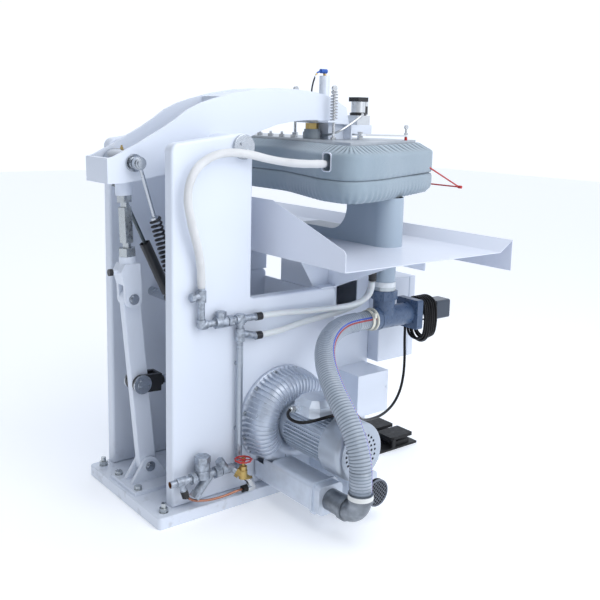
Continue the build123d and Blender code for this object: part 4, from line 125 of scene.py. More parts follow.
class Finish:
    """A procedural material whose looks change with the place on a piece.

    The colour, roughness and metal share start plain, and each call lays another layer on them."""

    def __init__(self, name, colour, rough, metal=0.0):
        self.material = bpy.data.materials.new(name)
        self.material.use_nodes = True
        self.tree = self.material.node_tree
        self.shader = self.tree.nodes["Principled BSDF"]
        self.place = self.node("ShaderNodeTexCoord").outputs["Object"]
        self.colour = colour
        self.rough = rough
        self.metal = metal
        self.normal = None

    def node(self, kind, **settings):
        made = self.tree.nodes.new(kind)
        for key, value in settings.items():
            setattr(made, key, value)
        return made

    def feed(self, value, socket):
        """Links an output, or sets a plain number or colour."""
        if isinstance(value, bpy.types.NodeSocket):
            self.tree.links.new(value, socket)
        elif isinstance(value, tuple) and len(value) == 3 and socket.type == "RGBA":
            socket.default_value = (*value, 1)
        else:
            socket.default_value = value

    def own_map(self):
        """The piece's UV map, which follows its surface."""
        return self.node("ShaderNodeTexCoord").outputs["UV"]

    def numbers(self, vector):
        """The three numbers of a place or a map."""
        split = self.node("ShaderNodeSeparateXYZ")
        self.feed(vector, split.inputs[0])
        return split.outputs

    def maths(self, operation, first, second=0):
        made = self.node("ShaderNodeMath", operation=operation)
        self.feed(first, made.inputs[0])
        self.feed(second, made.inputs[1])
        return made.outputs[0]

    def times(self, first, second):
        return self.maths("MULTIPLY", first, second)

    def between(self, value, low, high):
        """Mask of a value between two limits."""
        return self.times(self.maths("GREATER_THAN", value, low),
                          self.maths("LESS_THAN", value, high))

    def mixed(self, kind, share, low, high):
        """Mix of two numbers, FLOAT, or of two colours, RGBA."""
        first, second, result = {"FLOAT": (2, 3, 0), "RGBA": (6, 7, 2)}[kind]
        made = self.node("ShaderNodeMix", data_type=kind)
        self.feed(share, made.inputs[0])
        self.feed(low, made.inputs[first])
        self.feed(high, made.inputs[second])
        return made.outputs[result]

    def spots(self, scale, detail=3.0, stretch=(1, 1, 1)):
        """Noise between 0 and 1."""
        mapping = self.node("ShaderNodeMapping")
        mapping.inputs["Scale"].default_value = stretch
        self.feed(self.place, mapping.inputs["Vector"])
        made = self.node("ShaderNodeTexNoise")
        made.inputs["Scale"].default_value = scale
        made.inputs["Detail"].default_value = detail
        self.feed(mapping.outputs[0], made.inputs["Vector"])
        return made.outputs["Fac"]

    def narrowed(self, value, low, high):
        """A value stretched so that low gives 0 and high gives 1."""
        made = self.node("ShaderNodeMapRange", clamp=True)
        self.feed(value, made.inputs["Value"])
        made.inputs["From Min"].default_value = low
        made.inputs["From Max"].default_value = high
        return made.outputs["Result"]

    def inside(self, **spans):
        """Mask of a box in the shared frame, by its spans in millimetres."""
        outputs = self.numbers(self.place)
        mask = None
        for axis, (low, high) in spans.items():
            value = outputs[axis.upper()]
            for operation, limit in (("GREATER_THAN", low), ("LESS_THAN", high)):
                if limit is None:
                    continue
                part = self.maths(operation, value, limit * MM)
                mask = part if mask is None else self.times(mask, part)
        return mask

    def near_axis(self, x, z, radius, low_y):
        """Mask of a round bar along Y, beyond a Y, in millimetres."""
        outputs = self.numbers(self.place)
        across = self.maths("SUBTRACT", outputs["X"], x * MM)
        above = self.maths("SUBTRACT", outputs["Z"], z * MM)
        square = self.maths("ADD", self.times(across, across), self.times(above, above))
        inside = self.maths("LESS_THAN", square, (radius * MM) ** 2)
        return self.times(inside, self.maths("GREATER_THAN", outputs["Y"], low_y * MM))

    def zone(self, mask, colour, rough=None, metal=None):
        """Another look where the mask is 1."""
        self.colour = self.mixed("RGBA", mask, self.colour, colour)
        if rough is not None:
            self.rough = self.mixed("FLOAT", mask, self.rough, rough)
        if metal is not None:
            self.metal = self.mixed("FLOAT", mask, self.metal, metal)

    def mottled(self, scale, amount, tint):
        """Cloudy change of the colour towards a tint."""
        share = self.times(self.narrowed(self.spots(scale, 5.0), 0.35, 0.7), amount)
        self.colour = self.mixed("RGBA", share, self.colour, tint)

    def uneven_gloss(self, scale, amount):
        more = self.times(self.narrowed(self.spots(scale, 4.0), 0.3, 0.7), amount)
        self.rough = self.maths("ADD", self.rough, more)

    def grain(self, scale, depth, stretch=(1, 1, 1), detail=3.0):
        """Bump from noise, depth in millimetres."""
        self.bump(self.spots(scale, detail, stretch), depth)

    def bump(self, height, depth):
        made = self.node("ShaderNodeBump")
        made.inputs["Distance"].default_value = depth * MM
        made.inputs["Strength"].default_value = 1.0
        self.feed(height, made.inputs["Height"])
        if self.normal is not None:
            self.feed(self.normal, made.inputs["Normal"])
        self.normal = made.outputs["Normal"]

    def soft_edges(self, radius):
        """Rounds sharp edges in the shading, radius in millimetres."""
        made = self.node("ShaderNodeBevel", samples=4)
        made.inputs["Radius"].default_value = radius * MM
        self.normal = made.outputs["Normal"]

    def wave(self, where, scale, axis, distortion=0.0):
        made = self.node("ShaderNodeTexWave", wave_type="BANDS", bands_direction=axis)
        made.inputs["Scale"].default_value = scale
        made.inputs["Distortion"].default_value = distortion
        self.feed(where, made.inputs["Vector"])
        return made.outputs["Fac"]

    def done(self, **sockets):
        """Connects the looks and sets the shader's other sockets."""
        self.feed(self.colour, self.shader.inputs["Base Color"])
        self.feed(self.rough, self.shader.inputs["Roughness"])
        self.feed(self.metal, self.shader.inputs["Metallic"])
        if self.normal is not None:
            self.feed(self.normal, self.shader.inputs["Normal"])
        for key, value in sockets.items():
            self.shader.inputs[key.replace("_", " ")].default_value = value
        return self.material


WHITE = (0.73, 0.78, 0.87)
GALVANISED = (0.40, 0.44, 0.50)
STEEL = (0.50, 0.53, 0.57)
SLATE = (0.070, 0.112, 0.195)
BRASS = (0.58, 0.42, 0.16)
RED = (0.50, 0.025, 0.02)
BLACK = (0.018, 0.018, 0.020)
CLOTH = (0.255, 0.325, 0.385)


def finish(name, colour, rough, metal=0.0, edges=None, clouds=(), gloss=None, grain=None,
           zones=(), **sockets):
    """A material with the usual layers, in their usual order.

    A cloud is a scale, an amount and a tint, gloss is a scale and an amount, grain is a scale and
    a depth, and a zone is a box with its spans, a colour, and often a roughness and metal share."""
    layers = Finish(name, colour, rough, metal)
    if edges:
        layers.soft_edges(edges)
    for cloud in clouds:
        layers.mottled(*cloud)
    if gloss:
        layers.uneven_gloss(*gloss)
    if grain:
        layers.grain(*grain)
    for spans, *looks in zones:
        layers.zone(layers.inside(**spans), *looks)
    return layers.done(**sockets)


def enamel(name, colour, rough):
    """Powder-coated sheet: orange peel, cloudy gloss, handling marks low down."""
    paint = Finish(name, colour, rough)
    paint.soft_edges(1.6)
    low = paint.narrowed(paint.numbers(paint.place)["Z"], 0.16, 0.0)
    marks = paint.narrowed(paint.spots(34, 6.0), 0.57, 0.72)
    paint.zone(paint.times(marks, paint.times(low, 0.35)), (0.36, 0.37, 0.38), 0.6)
    rubs = paint.narrowed(paint.spots(9, 8.0, stretch=(1, 1, 0.25)), 0.66, 0.74)
    paint.zone(paint.times(rubs, 0.12), (0.55, 0.58, 0.62), 0.5)
    paint.mottled(2.2, 0.05, (0.66, 0.70, 0.77))
    paint.uneven_gloss(16, 0.10)
    paint.grain(520, 0.035)
    return paint.done(Coat_Weight=0.25, Coat_Roughness=0.12)


def cast_metal(name, colour, rough, metal, depth=0.12):
    """Sand-cast or die-cast metal under a thin silver coat."""
    return finish(name, colour, rough, metal, edges=0.8, clouds=[(30, 0.22, (0.30, 0.32, 0.35))],
                  gloss=(42, 0.16), grain=(900, depth))


def turned_steel(name, colour, rough):
    """Machined or plated steel with fine tool lines."""
    return finish(name, colour, rough, 1.0, edges=0.5, clouds=[(60, 0.18, (0.36, 0.36, 0.37))],
                  gloss=(90, 0.12), grain=(700, 0.03))


def dark_finish(name, colour, rough, scale, depth, dust=0.25, **sockets):
    """Black moulding or paint, a little dusty."""
    return finish(name, colour, rough, edges=0.8, clouds=[(22, dust, (0.045, 0.045, 0.047))],
                  gloss=(60, 0.15), grain=(scale, depth), **sockets)


frame_enamel = enamel("frame_enamel", WHITE, 0.30)
tray_enamel = enamel("tray_enamel", (0.70, 0.74, 0.84), 0.36)
duct_paint = enamel("duct_paint", (0.36, 0.44, 0.52), 0.42)

zinc_bolts = turned_steel("zinc_bolts", (0.52, 0.55, 0.56), 0.22)
shaft_steel = turned_steel("shaft_steel", STEEL, 0.18)
spring_steel = turned_steel("spring_steel", (0.030, 0.031, 0.036), 0.34)
strut_grey = turned_steel("strut_grey", (0.10, 0.12, 0.13), 0.34)

blower_cast = cast_metal("blower_casting", (0.66, 0.72, 0.82), 0.27, 0.40)
motor_cast = cast_metal("motor_casting", (0.66, 0.72, 0.80), 0.30, 0.50)
cowl_paint = cast_metal("cowl_paint", (0.45, 0.50, 0.57), 0.28, 0.6, 0.04)
platen_metal = cast_metal("platen_metal", (0.50, 0.53, 0.56), 0.34, 0.95, 0.08)

black_enamel = dark_finish("black_enamel", BLACK, 0.28, 500, 0.04, Coat_Weight=0.2)
pedal_rubber = dark_finish("pedal_rubber", (0.012, 0.012, 0.013), 0.50, 900, 0.15,
                           Specular_IOR_Level=0.3)
plate_black = dark_finish("pedal_plate_paint", (0.012, 0.012, 0.013), 0.45, 300, 0.10, 0.3,
                          Specular_IOR_Level=0.3)
cable_sheath = dark_finish("cable_sheath", (0.005, 0.005, 0.006), 0.30, 600, 0.05, 0.12,
                           Specular_IOR_Level=0.22)
screen_wire = dark_finish("screen_wire", (0.17, 0.19, 0.23), 0.3, 400, 0.04, 0.15)
union_black = dark_finish("union_black", (0.015, 0.015, 0.017), 0.34, 400, 0.06)

red_enamel = finish("red_enamel", RED, 0.3, edges=0.6, clouds=[(60, 0.3, (0.25, 0.01, 0.01))],
                    grain=(500, 0.05), Coat_Weight=0.3, Coat_Roughness=0.15)
float_wire = finish("float_spring_wire", (0.50, 0.51, 0.53), 0.28, 1.0,
                    clouds=[(120, 0.3, (0.25, 0.24, 0.23))], grain=(900, 0.02))
silicone_hose = finish("silicone_hose", (0.72, 0.75, 0.76), 0.42,
                       clouds=[(20, 0.2, (0.58, 0.61, 0.63))], gloss=(40, 0.12),
                       grain=(260, 0.08), Subsurface_Weight=0.05)
floor_paper = finish("floor_paper", (0.90, 0.91, 0.93), 0.9,
                     clouds=[(1.5, 0.03, (0.85, 0.86, 0.88))],
                     Emission_Color=(0.95, 0.97, 1.0, 1), Emission_Strength=0.24)

# Steam pipes: a plain riser, a black ferrule, and the rusty bore of the inlet
pipes = Finish("galvanised_pipe", GALVANISED, 0.30, 0.85)
pipes.soft_edges(1.0)
pipes.mottled(48, 0.60, (0.62, 0.68, 0.76))
pipes.mottled(95, 0.60, (0.12, 0.13, 0.15))
pipes.uneven_gloss(70, 0.22)
pipes.grain(190, 0.3)
pipes.zone(pipes.times(pipes.inside(x=(-268, -232), z=(206, 520)), 0.8), (0.40, 0.44, 0.49), 0.3)
ferrule = pipes.inside(x=(-272, -228), y=(None, 101), z=(535, 640))
pipes.zone(ferrule, (0.02, 0.02, 0.023), 0.35, 0.2)
pipes.zone(pipes.near_axis(-265, 136, 10.0, 368), (0.20, 0.075, 0.025), 0.8, 0.1)
galvanised = pipes.done()

# Pieces whose parts differ: each zone is a box in the shared frame
vacuum_pvc = finish(
    "vacuum_pvc", SLATE, 0.22, edges=0.8, clouds=[(35, 0.25, (0.11, 0.16, 0.25))],
    gloss=(55, 0.15), grain=(500, 0.06),
    zones=[({"z": (655, None)}, (0.50, 0.54, 0.56), 0.3, 0.9),
           ({"z": (668, 692)}, (0.80, 0.83, 0.85), 0.5, 0.0)])
hose_metals = finish(
    "hose_end_metals", (0.22, 0.24, 0.27), 0.30, 0.9, edges=1.0,
    clouds=[(38, 0.50, (0.44, 0.48, 0.52)), (16, 0.60, (0.12, 0.13, 0.14))],
    gloss=(60, 0.2), grain=(420, 0.16),
    zones=[({"y": (None, -250)}, (0.74, 0.72, 0.62), 0.45, 0.0),
           ({"y": (-349, -250)}, (0.66, 0.67, 0.68), 0.22, 1.0),
           ({"z": (162, 176), "x": (None, -600)}, (0.74, 0.75, 0.73), 0.5, 0.0)])
valve_brass = finish(
    "valve_brass", BRASS, 0.34, 1.0, edges=0.6, clouds=[(60, 0.4, (0.34, 0.22, 0.08))],
    gloss=(80, 0.2), grain=(600, 0.1),
    zones=[({"z": (None, 100)}, (0.62, 0.63, 0.64), 0.16, 1.0)])
copper = finish(
    "copper_tube_metals", (0.40, 0.19, 0.13), 0.24, 1.0,
    clouds=[(40, 0.35, (0.28, 0.11, 0.07))], gloss=(90, 0.15),
    zones=[({"y": (None, 176)}, (0.02, 0.02, 0.02), 0.3, 0.6),
           ({"y": (359, None)}, (0.05, 0.05, 0.05), 0.3, 0.8)])
silencer_metal = finish(
    "silencer_metals", (0.68, 0.74, 0.83), 0.28, 0.35, edges=0.8,
    clouds=[(24, 0.22, (0.32, 0.34, 0.38))], gloss=(30, 0.14), grain=(800, 0.07),
    zones=[({"x": (None, -579), "y": (None, -25)}, (0.003, 0.003, 0.004), 0.7, 0.0)])
head_metals = finish(
    "head_hardware_metals", (0.64, 0.65, 0.66), 0.26, 1.0, edges=0.5,
    clouds=[(70, 0.2, (0.38, 0.38, 0.38))], grain=(700, 0.03),
    zones=[({"z": (1189.8, 1196.2)}, (0.80, 0.82, 0.84), 0.28, 0.35),
           ({"x": (-206, -188), "y": (-607, -589), "z": (None, 1188.5)}, RED, 0.35, 0.0)])
fitting_metals = finish(
    "head_fitting_metals", (0.30, 0.34, 0.37), 0.5, 0.4, edges=0.8,
    clouds=[(60, 0.3, (0.20, 0.22, 0.24))], grain=(500, 0.15),
    zones=[({"x": (-26, 26), "y": (-341, -289), "z": (1210.2, None)}, BRASS, 0.32, 1.0),
           ({"y": (None, -343)}, (0.62, 0.63, 0.64), 0.24, 1.0)])
switch_finish = finish(
    "switch_finishes", (0.66, 0.68, 0.70), 0.3, 0.5, edges=0.8,
    clouds=[(60, 0.2, (0.40, 0.41, 0.42))], grain=(600, 0.05),
    zones=[({"z": (1262, 1273)}, BLACK, 0.35, 0.0),
           ({"z": (1312.2, None)}, BLACK, 0.4, 0.0),
           ({"y": (-536, -508), "z": (1263, 1296)}, (0.05, 0.05, 0.05), 0.4, 0.2)])
jack_finish = finish(
    "top_cylinder_finishes", (0.74, 0.79, 0.86), 0.28, 0.15, edges=0.6,
    clouds=[(60, 0.15, (0.45, 0.46, 0.48))], grain=(600, 0.04),
    zones=[({"z": (1400.8, None)}, BRASS, 0.3, 1.0),
           ({"z": (1408.5, None)}, (0.02, 0.10, 0.42), 0.3, 0.0),
           ({"y": (-322, None), "z": (1300, None)}, (0.012, 0.014, 0.022), 0.35, 0.0)])
clevis_finish = finish(
    "clevis_enamel", WHITE, 0.3, edges=1.2, clouds=[(14, 0.06, (0.60, 0.64, 0.70))],
    grain=(520, 0.035), zones=[({"y": (476, None)}, (0.03, 0.03, 0.032), 0.35, 0.5)],
    Coat_Weight=0.25, Coat_Roughness=0.12)
barrel_finish = finish(
    "trunnion_finishes", STEEL, 0.2, 1.0, edges=0.6, clouds=[(60, 0.2, (0.36, 0.36, 0.37))],
    zones=[({"z": (None, 1069)}, WHITE, 0.3, 0.0), ({"z": (1143.8, None)}, BRASS, 0.3, 1.0)])
fork_finish = finish(
    "fork_finishes", STEEL, 0.2, 1.0, edges=0.8, clouds=[(50, 0.2, (0.30, 0.30, 0.31))],
    grain=(500, 0.05), zones=[({"y": (300, None)}, BLACK, 0.3, 0.0)])
cylinder_finish = finish(
    "vacuum_cylinder_finishes", (0.60, 0.62, 0.65), 0.14, 1.0, edges=0.8,
    clouds=[(50, 0.12, (0.36, 0.37, 0.38))], grain=(700, 0.03, (1, 0.05, 1)),
    zones=[({"y": (-577, None)}, SLATE, 0.3, 0.0),
           ({"y": (None, -671.5)}, (0.045, 0.060, 0.085), 0.3, 0.0)])

# Cloth of the covers: a weave, and painted shade in the valleys and painted highlights on the
# ridges of the pleats that are drawn in round the rounded end of the head. The pleats are a pitch
# apart in millimetres, and wider along the nose.
PLEAT_PITCH = 23
WIDE_PLEATS = (1060, 1590)
PLEATS_FEWER = 11.5
THREADS = 260
cloth = Finish("pad_cloth", CLOTH, 0.86)
cloth_map = cloth.own_map()
weave = cloth.maths("MAXIMUM", cloth.wave(cloth_map, THREADS, "X"),
                     cloth.wave(cloth_map, THREADS, "Y"))
cloth.mottled(5, 0.18, (0.38, 0.47, 0.54))
cloth.mottled(28, 0.14, (0.27, 0.33, 0.38))
cloth.zone(cloth.times(weave, 0.10), (0.46, 0.54, 0.58))
place_split = cloth.numbers(cloth.place)
round_rim = cloth.numbers(cloth_map)["X"]
wide_share = cloth.narrowed(round_rim, WIDE_PLEATS[0] * MM, WIDE_PLEATS[1] * MM)
half_turns = cloth.maths("SUBTRACT", cloth.times(round_rim, pi / (PLEAT_PITCH * MM)),
                          cloth.times(wide_share, PLEATS_FEWER * pi))
pleat_wave = cloth.maths("ABSOLUTE", cloth.maths("SINE", half_turns))
# Painted shade in the valleys of the drawn-in pleats, and painted highlights on their ridges
pleat_valley_painted_shade = cloth.narrowed(pleat_wave, 0.62, 0.15)
pleat_ridge_painted_highlight = cloth.narrowed(pleat_wave, 0.80, 0.97)
drawn_in = cloth.times(cloth.narrowed(place_split["Z"], 1.141, 1.152),
                       cloth.narrowed(place_split["X"], 0.16, -0.10))
cloth.zone(cloth.times(cloth.times(pleat_valley_painted_shade, drawn_in), 0.85), (0.05, 0.065, 0.08))
cloth.zone(cloth.times(cloth.times(pleat_ridge_painted_highlight, drawn_in), 0.45), (0.52, 0.60, 0.66))
cloth.grain(70, 0.7, detail=5.0)
cloth.bump(weave, 0.16)
pad_cloth = cloth.done(Sheen_Weight=0.35, Sheen_Roughness=0.45)

# Woven sleeve of the steam hose: two slanting bands that cross
BRAID = 95
sleeve = Finish("woven_sleeve", (0.90, 0.91, 0.92), 0.9)
sleeve_map = sleeve.own_map()
mirrored = sleeve.node("ShaderNodeMapping")
mirrored.inputs["Scale"].default_value = (1, -1, 1)
sleeve.feed(sleeve_map, mirrored.inputs["Vector"])
braid = sleeve.maths("MAXIMUM", sleeve.wave(sleeve_map, BRAID, "DIAGONAL", 1.2),
                      sleeve.wave(mirrored.outputs[0], BRAID, "DIAGONAL", 1.2))
sleeve.mottled(26, 0.30, (0.74, 0.75, 0.76))
sleeve.zone(sleeve.times(braid, 0.12), (0.95, 0.95, 0.95))
sleeve.bump(braid, 0.5)
sleeve.grain(180, 0.8, detail=5.0)
woven_sleeve = sleeve.done(Sheen_Weight=0.3)

# Vacuum hose: painted shade in the grooves between its ribs, and a red and a blue stripe on either
# side
HOSE_R = 0.034
HOSE_CUFF = 2 * HOSE_R
RIBS_PER_METRE = 106.3
RED_STRIPE = (0.40, 0.03, 0.04)
BLUE_STRIPE = (0.03, 0.08, 0.50)
STRIPE_WIDTH = 0.026
ribbed = Finish("clear_ribbed_hose", (0.38, 0.43, 0.50), 0.24)
hose_map = ribbed.numbers(ribbed.own_map())
ribbed.mottled(14, 0.25, (0.20, 0.24, 0.29))
from_cuff = ribbed.maths("SUBTRACT", hose_map["X"], HOSE_CUFF)
rib_share = ribbed.maths("FRACT", ribbed.times(from_cuff, RIBS_PER_METRE))
# Painted shade in the grooves between the ribs
rib_groove_painted_shade = ribbed.maths("MAXIMUM", ribbed.narrowed(rib_share, 0.26, 0.08),
                       ribbed.narrowed(rib_share, 0.72, 0.94))
ribbed.zone(ribbed.times(rib_groove_painted_shade, 0.75), (0.13, 0.16, 0.19), 0.5)
for side in (0, 0.5):
    for start, colour in ((side + 0.030, RED_STRIPE), (side + 0.066, BLUE_STRIPE)):
        ribbed.zone(ribbed.between(hose_map["Y"], start, start + STRIPE_WIDTH), colour, 0.3)
ribbed.uneven_gloss(40, 0.15)
ribbed.grain(300, 0.10)
clear_hose = ribbed.done(Coat_Weight=0.5, Coat_Roughness=0.12)

NODE_FINISHES = {
    frame_enamel: ["base_plate", "near_side_plate", "far_side_plate", "cross_members",
                   "toggle_foot", "front_column", "front_console", "console_door", "arm_channel",
                   "arm_cover", "lower_link", "head_mount", "tray_brackets"],
    clevis_finish: ["upper_clevis"],
    barrel_finish: ["trunnion_barrel"],
    fork_finish: ["cylinder_rod"],
    strut_grey: ["damper_rod"],
    cylinder_finish: ["valve_cylinder"],
    tray_enamel: ["work_tray"],
    duct_paint: ["pedestal_duct"],
    zinc_bolts: ["frame_bolts", "turnbuckle", "blower_rotor"],
    shaft_steel: ["pivot_shaft", "fixed_pins", "link_pins", "trunnion_studs", "spring_foot",
                  "spring_rod", "valve_piston"],
    float_wire: ["float_springs"],
    galvanised: ["steam_pipework"],
    blower_cast: ["blower_housing"],
    motor_cast: ["motor_housing"],
    cowl_paint: ["fan_cowl"],
    platen_metal: ["head_platen", "buck_table"],
    red_enamel: ["handwheel", "safety_bar"],
    black_enamel: ["air_cylinder", "damper_tube"],
    pedal_rubber: ["near_pedal", "far_pedal"],
    plate_black: ["pedal_plate"],
    vacuum_pvc: ["vacuum_valve"],
    hose_metals: ["hose_fittings"],
    valve_brass: ["steam_valve"],
    copper: ["copper_tube"],
    silencer_metal: ["silencers"],
    head_metals: ["head_hardware"],
    fitting_metals: ["head_fittings"],
    switch_finish: ["pressure_switch"],
    jack_finish: ["top_cylinder"],
}


def dress(piece, material):
    """Gives a piece one material in every slot."""
    if not piece.material_slots:
        piece.data.materials.append(material)
    for each in piece.material_slots:
        each.material = material


for material, names in NODE_FINISHES.items():
    for name in names:
        dress(nodes[name], material)


def final_mesh(thing):
    """The mesh that an object shows, with its modifiers or its curve's bevel worked in."""
    bpy.context.view_layer.update()
    shown = thing.evaluated_get(bpy.context.evaluated_depsgraph_get())
    return bpy.data.meshes.new_from_object(shown)


def smooth_route(name, points):
    """One smooth line through its route's points, in millimetres."""
    curve = bpy.data.curves.new(name, "CURVE")
    curve.dimensions = "3D"
    curve.resolution_u = 16
    spline = curve.splines.new("NURBS")
    spline.points.add(len(points) - 1)
    for spot, point in zip(spline.points, points):
        spot.co = (*(Vector(point) * MM), 1)
    spline.order_u = 3
    spline.use_endpoint_u = True
    spline.resolution_u = 16
    return in_scene(name, curve)


def line_points(route):
    """Points along a route's own smooth line."""
    mesh = final_mesh(route)
    points = [vertex.co.copy() for vertex in mesh.vertices]
    bpy.data.meshes.remove(mesh)
    return points


def add_mesh(name, mesh, material, smooth):
    """Makes a piece of a mesh, at the origin."""
    piece = in_scene(name, mesh)
    for polygon in mesh.polygons:
        polygon.use_smooth = smooth
    dress(piece, material)
    return piece


def add_piece(name, bm, material, smooth=True):
    """Makes a piece of a bmesh."""
    mesh = bpy.data.meshes.new(name)
    bm.to_mesh(mesh)
    bm.free()
    return add_mesh(name, mesh, material, smooth)


def merge_seams(bm):
    """Merges the doubles that a spin leaves, and turns the faces outwards."""
    bmesh.ops.remove_doubles(bm, verts=bm.verts, dist=1e-6)
    bmesh.ops.recalc_face_normals(bm, faces=bm.faces)


def baked(piece):
    """Turns a piece's modifiers into its mesh."""
    mesh = final_mesh(piece)
    piece.modifiers.clear()
    piece.data = mesh
    for polygon in mesh.polygons:
        polygon.use_smooth = True


# Pale floor, a hair under the base plate
bm = bmesh.new()
bmesh.ops.create_grid(bm, x_segments=2, y_segments=2, size=14)
bmesh.ops.translate(bm, verts=bm.verts, vec=(0, 0, -0.0005))
floor = add_piece("studio_floor", bm, floor_paper, smooth=False)


def tube_along(name, points, profile, material, steps=28):
    """Spins a profile round a straight line and lays it along a route.

    The profile is a function of the route's length that gives distances and radii, in metres."""
    route = smooth_route(name + "_route", points)
    line = line_points(route)
    length = sum((end - start).length for start, end in zip(line, line[1:]))
    bm = bmesh.new()
    spots = [bm.verts.new((distance, radius, 0)) for distance, radius in profile(length)]
    edges = [bm.edges.new(pair) for pair in zip(spots, spots[1:])]
    bmesh.ops.spin(bm, geom=spots + edges, cent=(0, 0, 0), axis=(1, 0, 0), angle=2 * pi,
                   steps=steps, use_merge=True)
    merge_seams(bm)
    layer = bm.loops.layers.uv.new("UVMap")
    for face in bm.faces:
        centre = face.calc_center_median()
        middle = atan2(centre.z, centre.y)
        for corner in face.loops:
            co = corner.vert.co
            turned = (atan2(co.z, co.y) - middle + pi) % (2 * pi) + middle - pi
            corner[layer].uv = (co.x, turned / (2 * pi) + 0.5)
    piece = add_piece(name, bm, material)
    bend = piece.modifiers.new("bend", "CURVE")
    bend.object = route
    bend.deform_axis = "POS_X"
    baked(piece)
    bpy.data.objects.remove(route)
    return piece, line


def capped(levels):
    """A profile closed on its axis at both ends."""
    return [(levels[0][0], 0)] + levels + [(levels[-1][0], 0)]


# One rib of the vacuum hose: shares of its pitch, and how far under the outside, in metres
RIBS = 76
RIB_SECTION = ((0, 0.0024), (0.22, 0.0006), (0.38, 0), (0.55, 0), (0.72, 0.0006), (0.92, 0.0024))


def ribbed_profile(length):
    """Ribs between two plain cuffs."""
    pitch = (length - 2 * HOSE_CUFF) / RIBS
    levels = [(0, HOSE_R)]
    for i in range(RIBS):
        levels += [(HOSE_CUFF + (i + share) * pitch, HOSE_R - sunk) for share, sunk in RIB_SECTION]
    levels += [(length - HOSE_CUFF, HOSE_R), (length, HOSE_R)]
    return capped(levels)


VACUUM_HOSE_ROUTE = [
    (-290, -369, 554), (-290, -283, 554), (-301, -213, 551), (-335, -145, 540), (-378, -88, 523),
    (-430, -42, 498), (-495, -6, 464), (-573, 24, 424), (-640, 35, 376), (-685, 39, 318),
    (-707, 40, 250), (-707, 40, 178),
]
vacuum_hose, line = tube_along("ribbed_vacuum_hose", VACUUM_HOSE_ROUTE, ribbed_profile, clear_hose)
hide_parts("vacuum_hose")
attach(vacuum_hose, "frame")

# Motor cable: from its gland round the motor, down, and up to its coil at the vacuum valve
MOTOR_CABLE_ROUTE = [
    (-445, 90, 366), (-446, 106, 366), (-458, 124, 362), (-478, 134, 357), (-500, 132, 352),
    (-518, 119, 350), (-528, 101, 351), (-536, 66, 354), (-538, 28, 356), (-535, -32, 354),
    (-517, -90, 338), (-482, -145, 305), (-440, -198, 268), (-395, -255, 238), (-362, -325, 217),
    (-332, -405, 206), (-302, -485, 216), (-277, -545, 250), (-258, -580, 303), (-248, -592, 365),
    (-243, -592, 430), (-242, -592, 495),
]
# Each turn of the coil is a rounded loop, a little slack, that droops at its low end. A smooth
# line runs inside its points, so they stand further out by the ease.
DUCT_X = -290
COIL_HALF_WIDTH = 47
COIL_TOP_Z = 605.7
COIL_LOW_Z = 448
COIL_FIRST_Y = -592
COIL_PITCH = 11
COIL_EASE = 1.035
COIL_POINTS = 70
TURN_POINTS = 12
SLACK = 0.10
DROOP = 14
coil_middle_z = (COIL_TOP_Z + COIL_LOW_Z) / 2
coil_straight = (COIL_TOP_Z - COIL_LOW_Z) / 2 - COIL_HALF_WIDTH
coil_turns = []
for i in range(COIL_POINTS):
    angle = 2 * pi * i / TURN_POINTS
    loose = smooth_step(i, 0, TURN_POINTS)
    slack = 1 + SLACK * noise.noise((i * 0.12, 2.2, 0.4)) * loose
    droop = DROOP * noise.noise((i * 0.10, 7.1, 1.9)) * (1 - sin(angle)) * loose
    end_way = (sin(angle) > 0.1) - (sin(angle) < -0.1)
    reach_z = COIL_HALF_WIDTH * sin(angle) + coil_straight * end_way
    coil_turns.append((DUCT_X + COIL_HALF_WIDTH * COIL_EASE * slack * cos(angle),
                       COIL_FIRST_Y - COIL_PITCH * i / TURN_POINTS,
                       coil_middle_z + COIL_EASE * reach_z + droop))
motor_cable = smooth_route("black_motor_cable", MOTOR_CABLE_ROUTE + coil_turns)
motor_cable.data.bevel_depth = 0.005
motor_cable.data.bevel_resolution = 4
motor_cable.data.use_fill_caps = True
motor_cable.data.materials.append(cable_sheath)
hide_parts("motor_cable")
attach(motor_cable, "frame")


def plain_profile(length):
    """Smooth hose, cut into short lengths so that it bends evenly."""
    return capped([(length * i / 60, 0.010) for i in range(61)])


BUCK_HOSES = {
    "buck_steam_hose": (0.493, [
        (-250, 78, 619), (-250, -5, 619), (-257, -110, 612), (-266, -223, 609), (-280, -300, 614),
        (-294, -345, 636), (-300, -360, 665), (-300, -360, 695),
    ]),
    "buck_drain_hose": (0.568, [
        (-250, 78, 556), (-250, 15, 556), (-251, -90, 575), (-250, -230, 585), (-240, -320, 592),
        (-231, -388, 608), (-228, -424, 650), (-228, -424, 695),
    ]),
}
for name, (length, points) in BUCK_HOSES.items():
    hose, line = tube_along(name, points, plain_profile, silicone_hose, 24)
    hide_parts("buck_hoses")
    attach(hose, "frame")


def turned_piece(bm, foot, way, levels, steps=32):
    """Adds a turned shape to a bmesh, and gives its vertices.

    Its levels are distances and radii in millimetres, along a way from a foot."""
    start = len(bm.verts)
    spots = [bm.verts.new((radius * MM, 0, distance * MM)) for distance, radius in levels]
    edges = [bm.edges.new(pair) for pair in zip(spots, spots[1:])]
    bmesh.ops.spin(bm, geom=spots + edges, cent=(0, 0, 0), axis=(0, 0, 1), angle=2 * pi,
                   steps=steps, use_merge=True)
    bm.verts.ensure_lookup_table()
    made = bm.verts[start:]
    turning = Vector(way).to_track_quat("Z", "Y").to_matrix().to_4x4()
    place = Matrix.Translation(Vector(foot) * MM) @ turning
    bmesh.ops.transform(bm, matrix=place, verts=made)
    return made


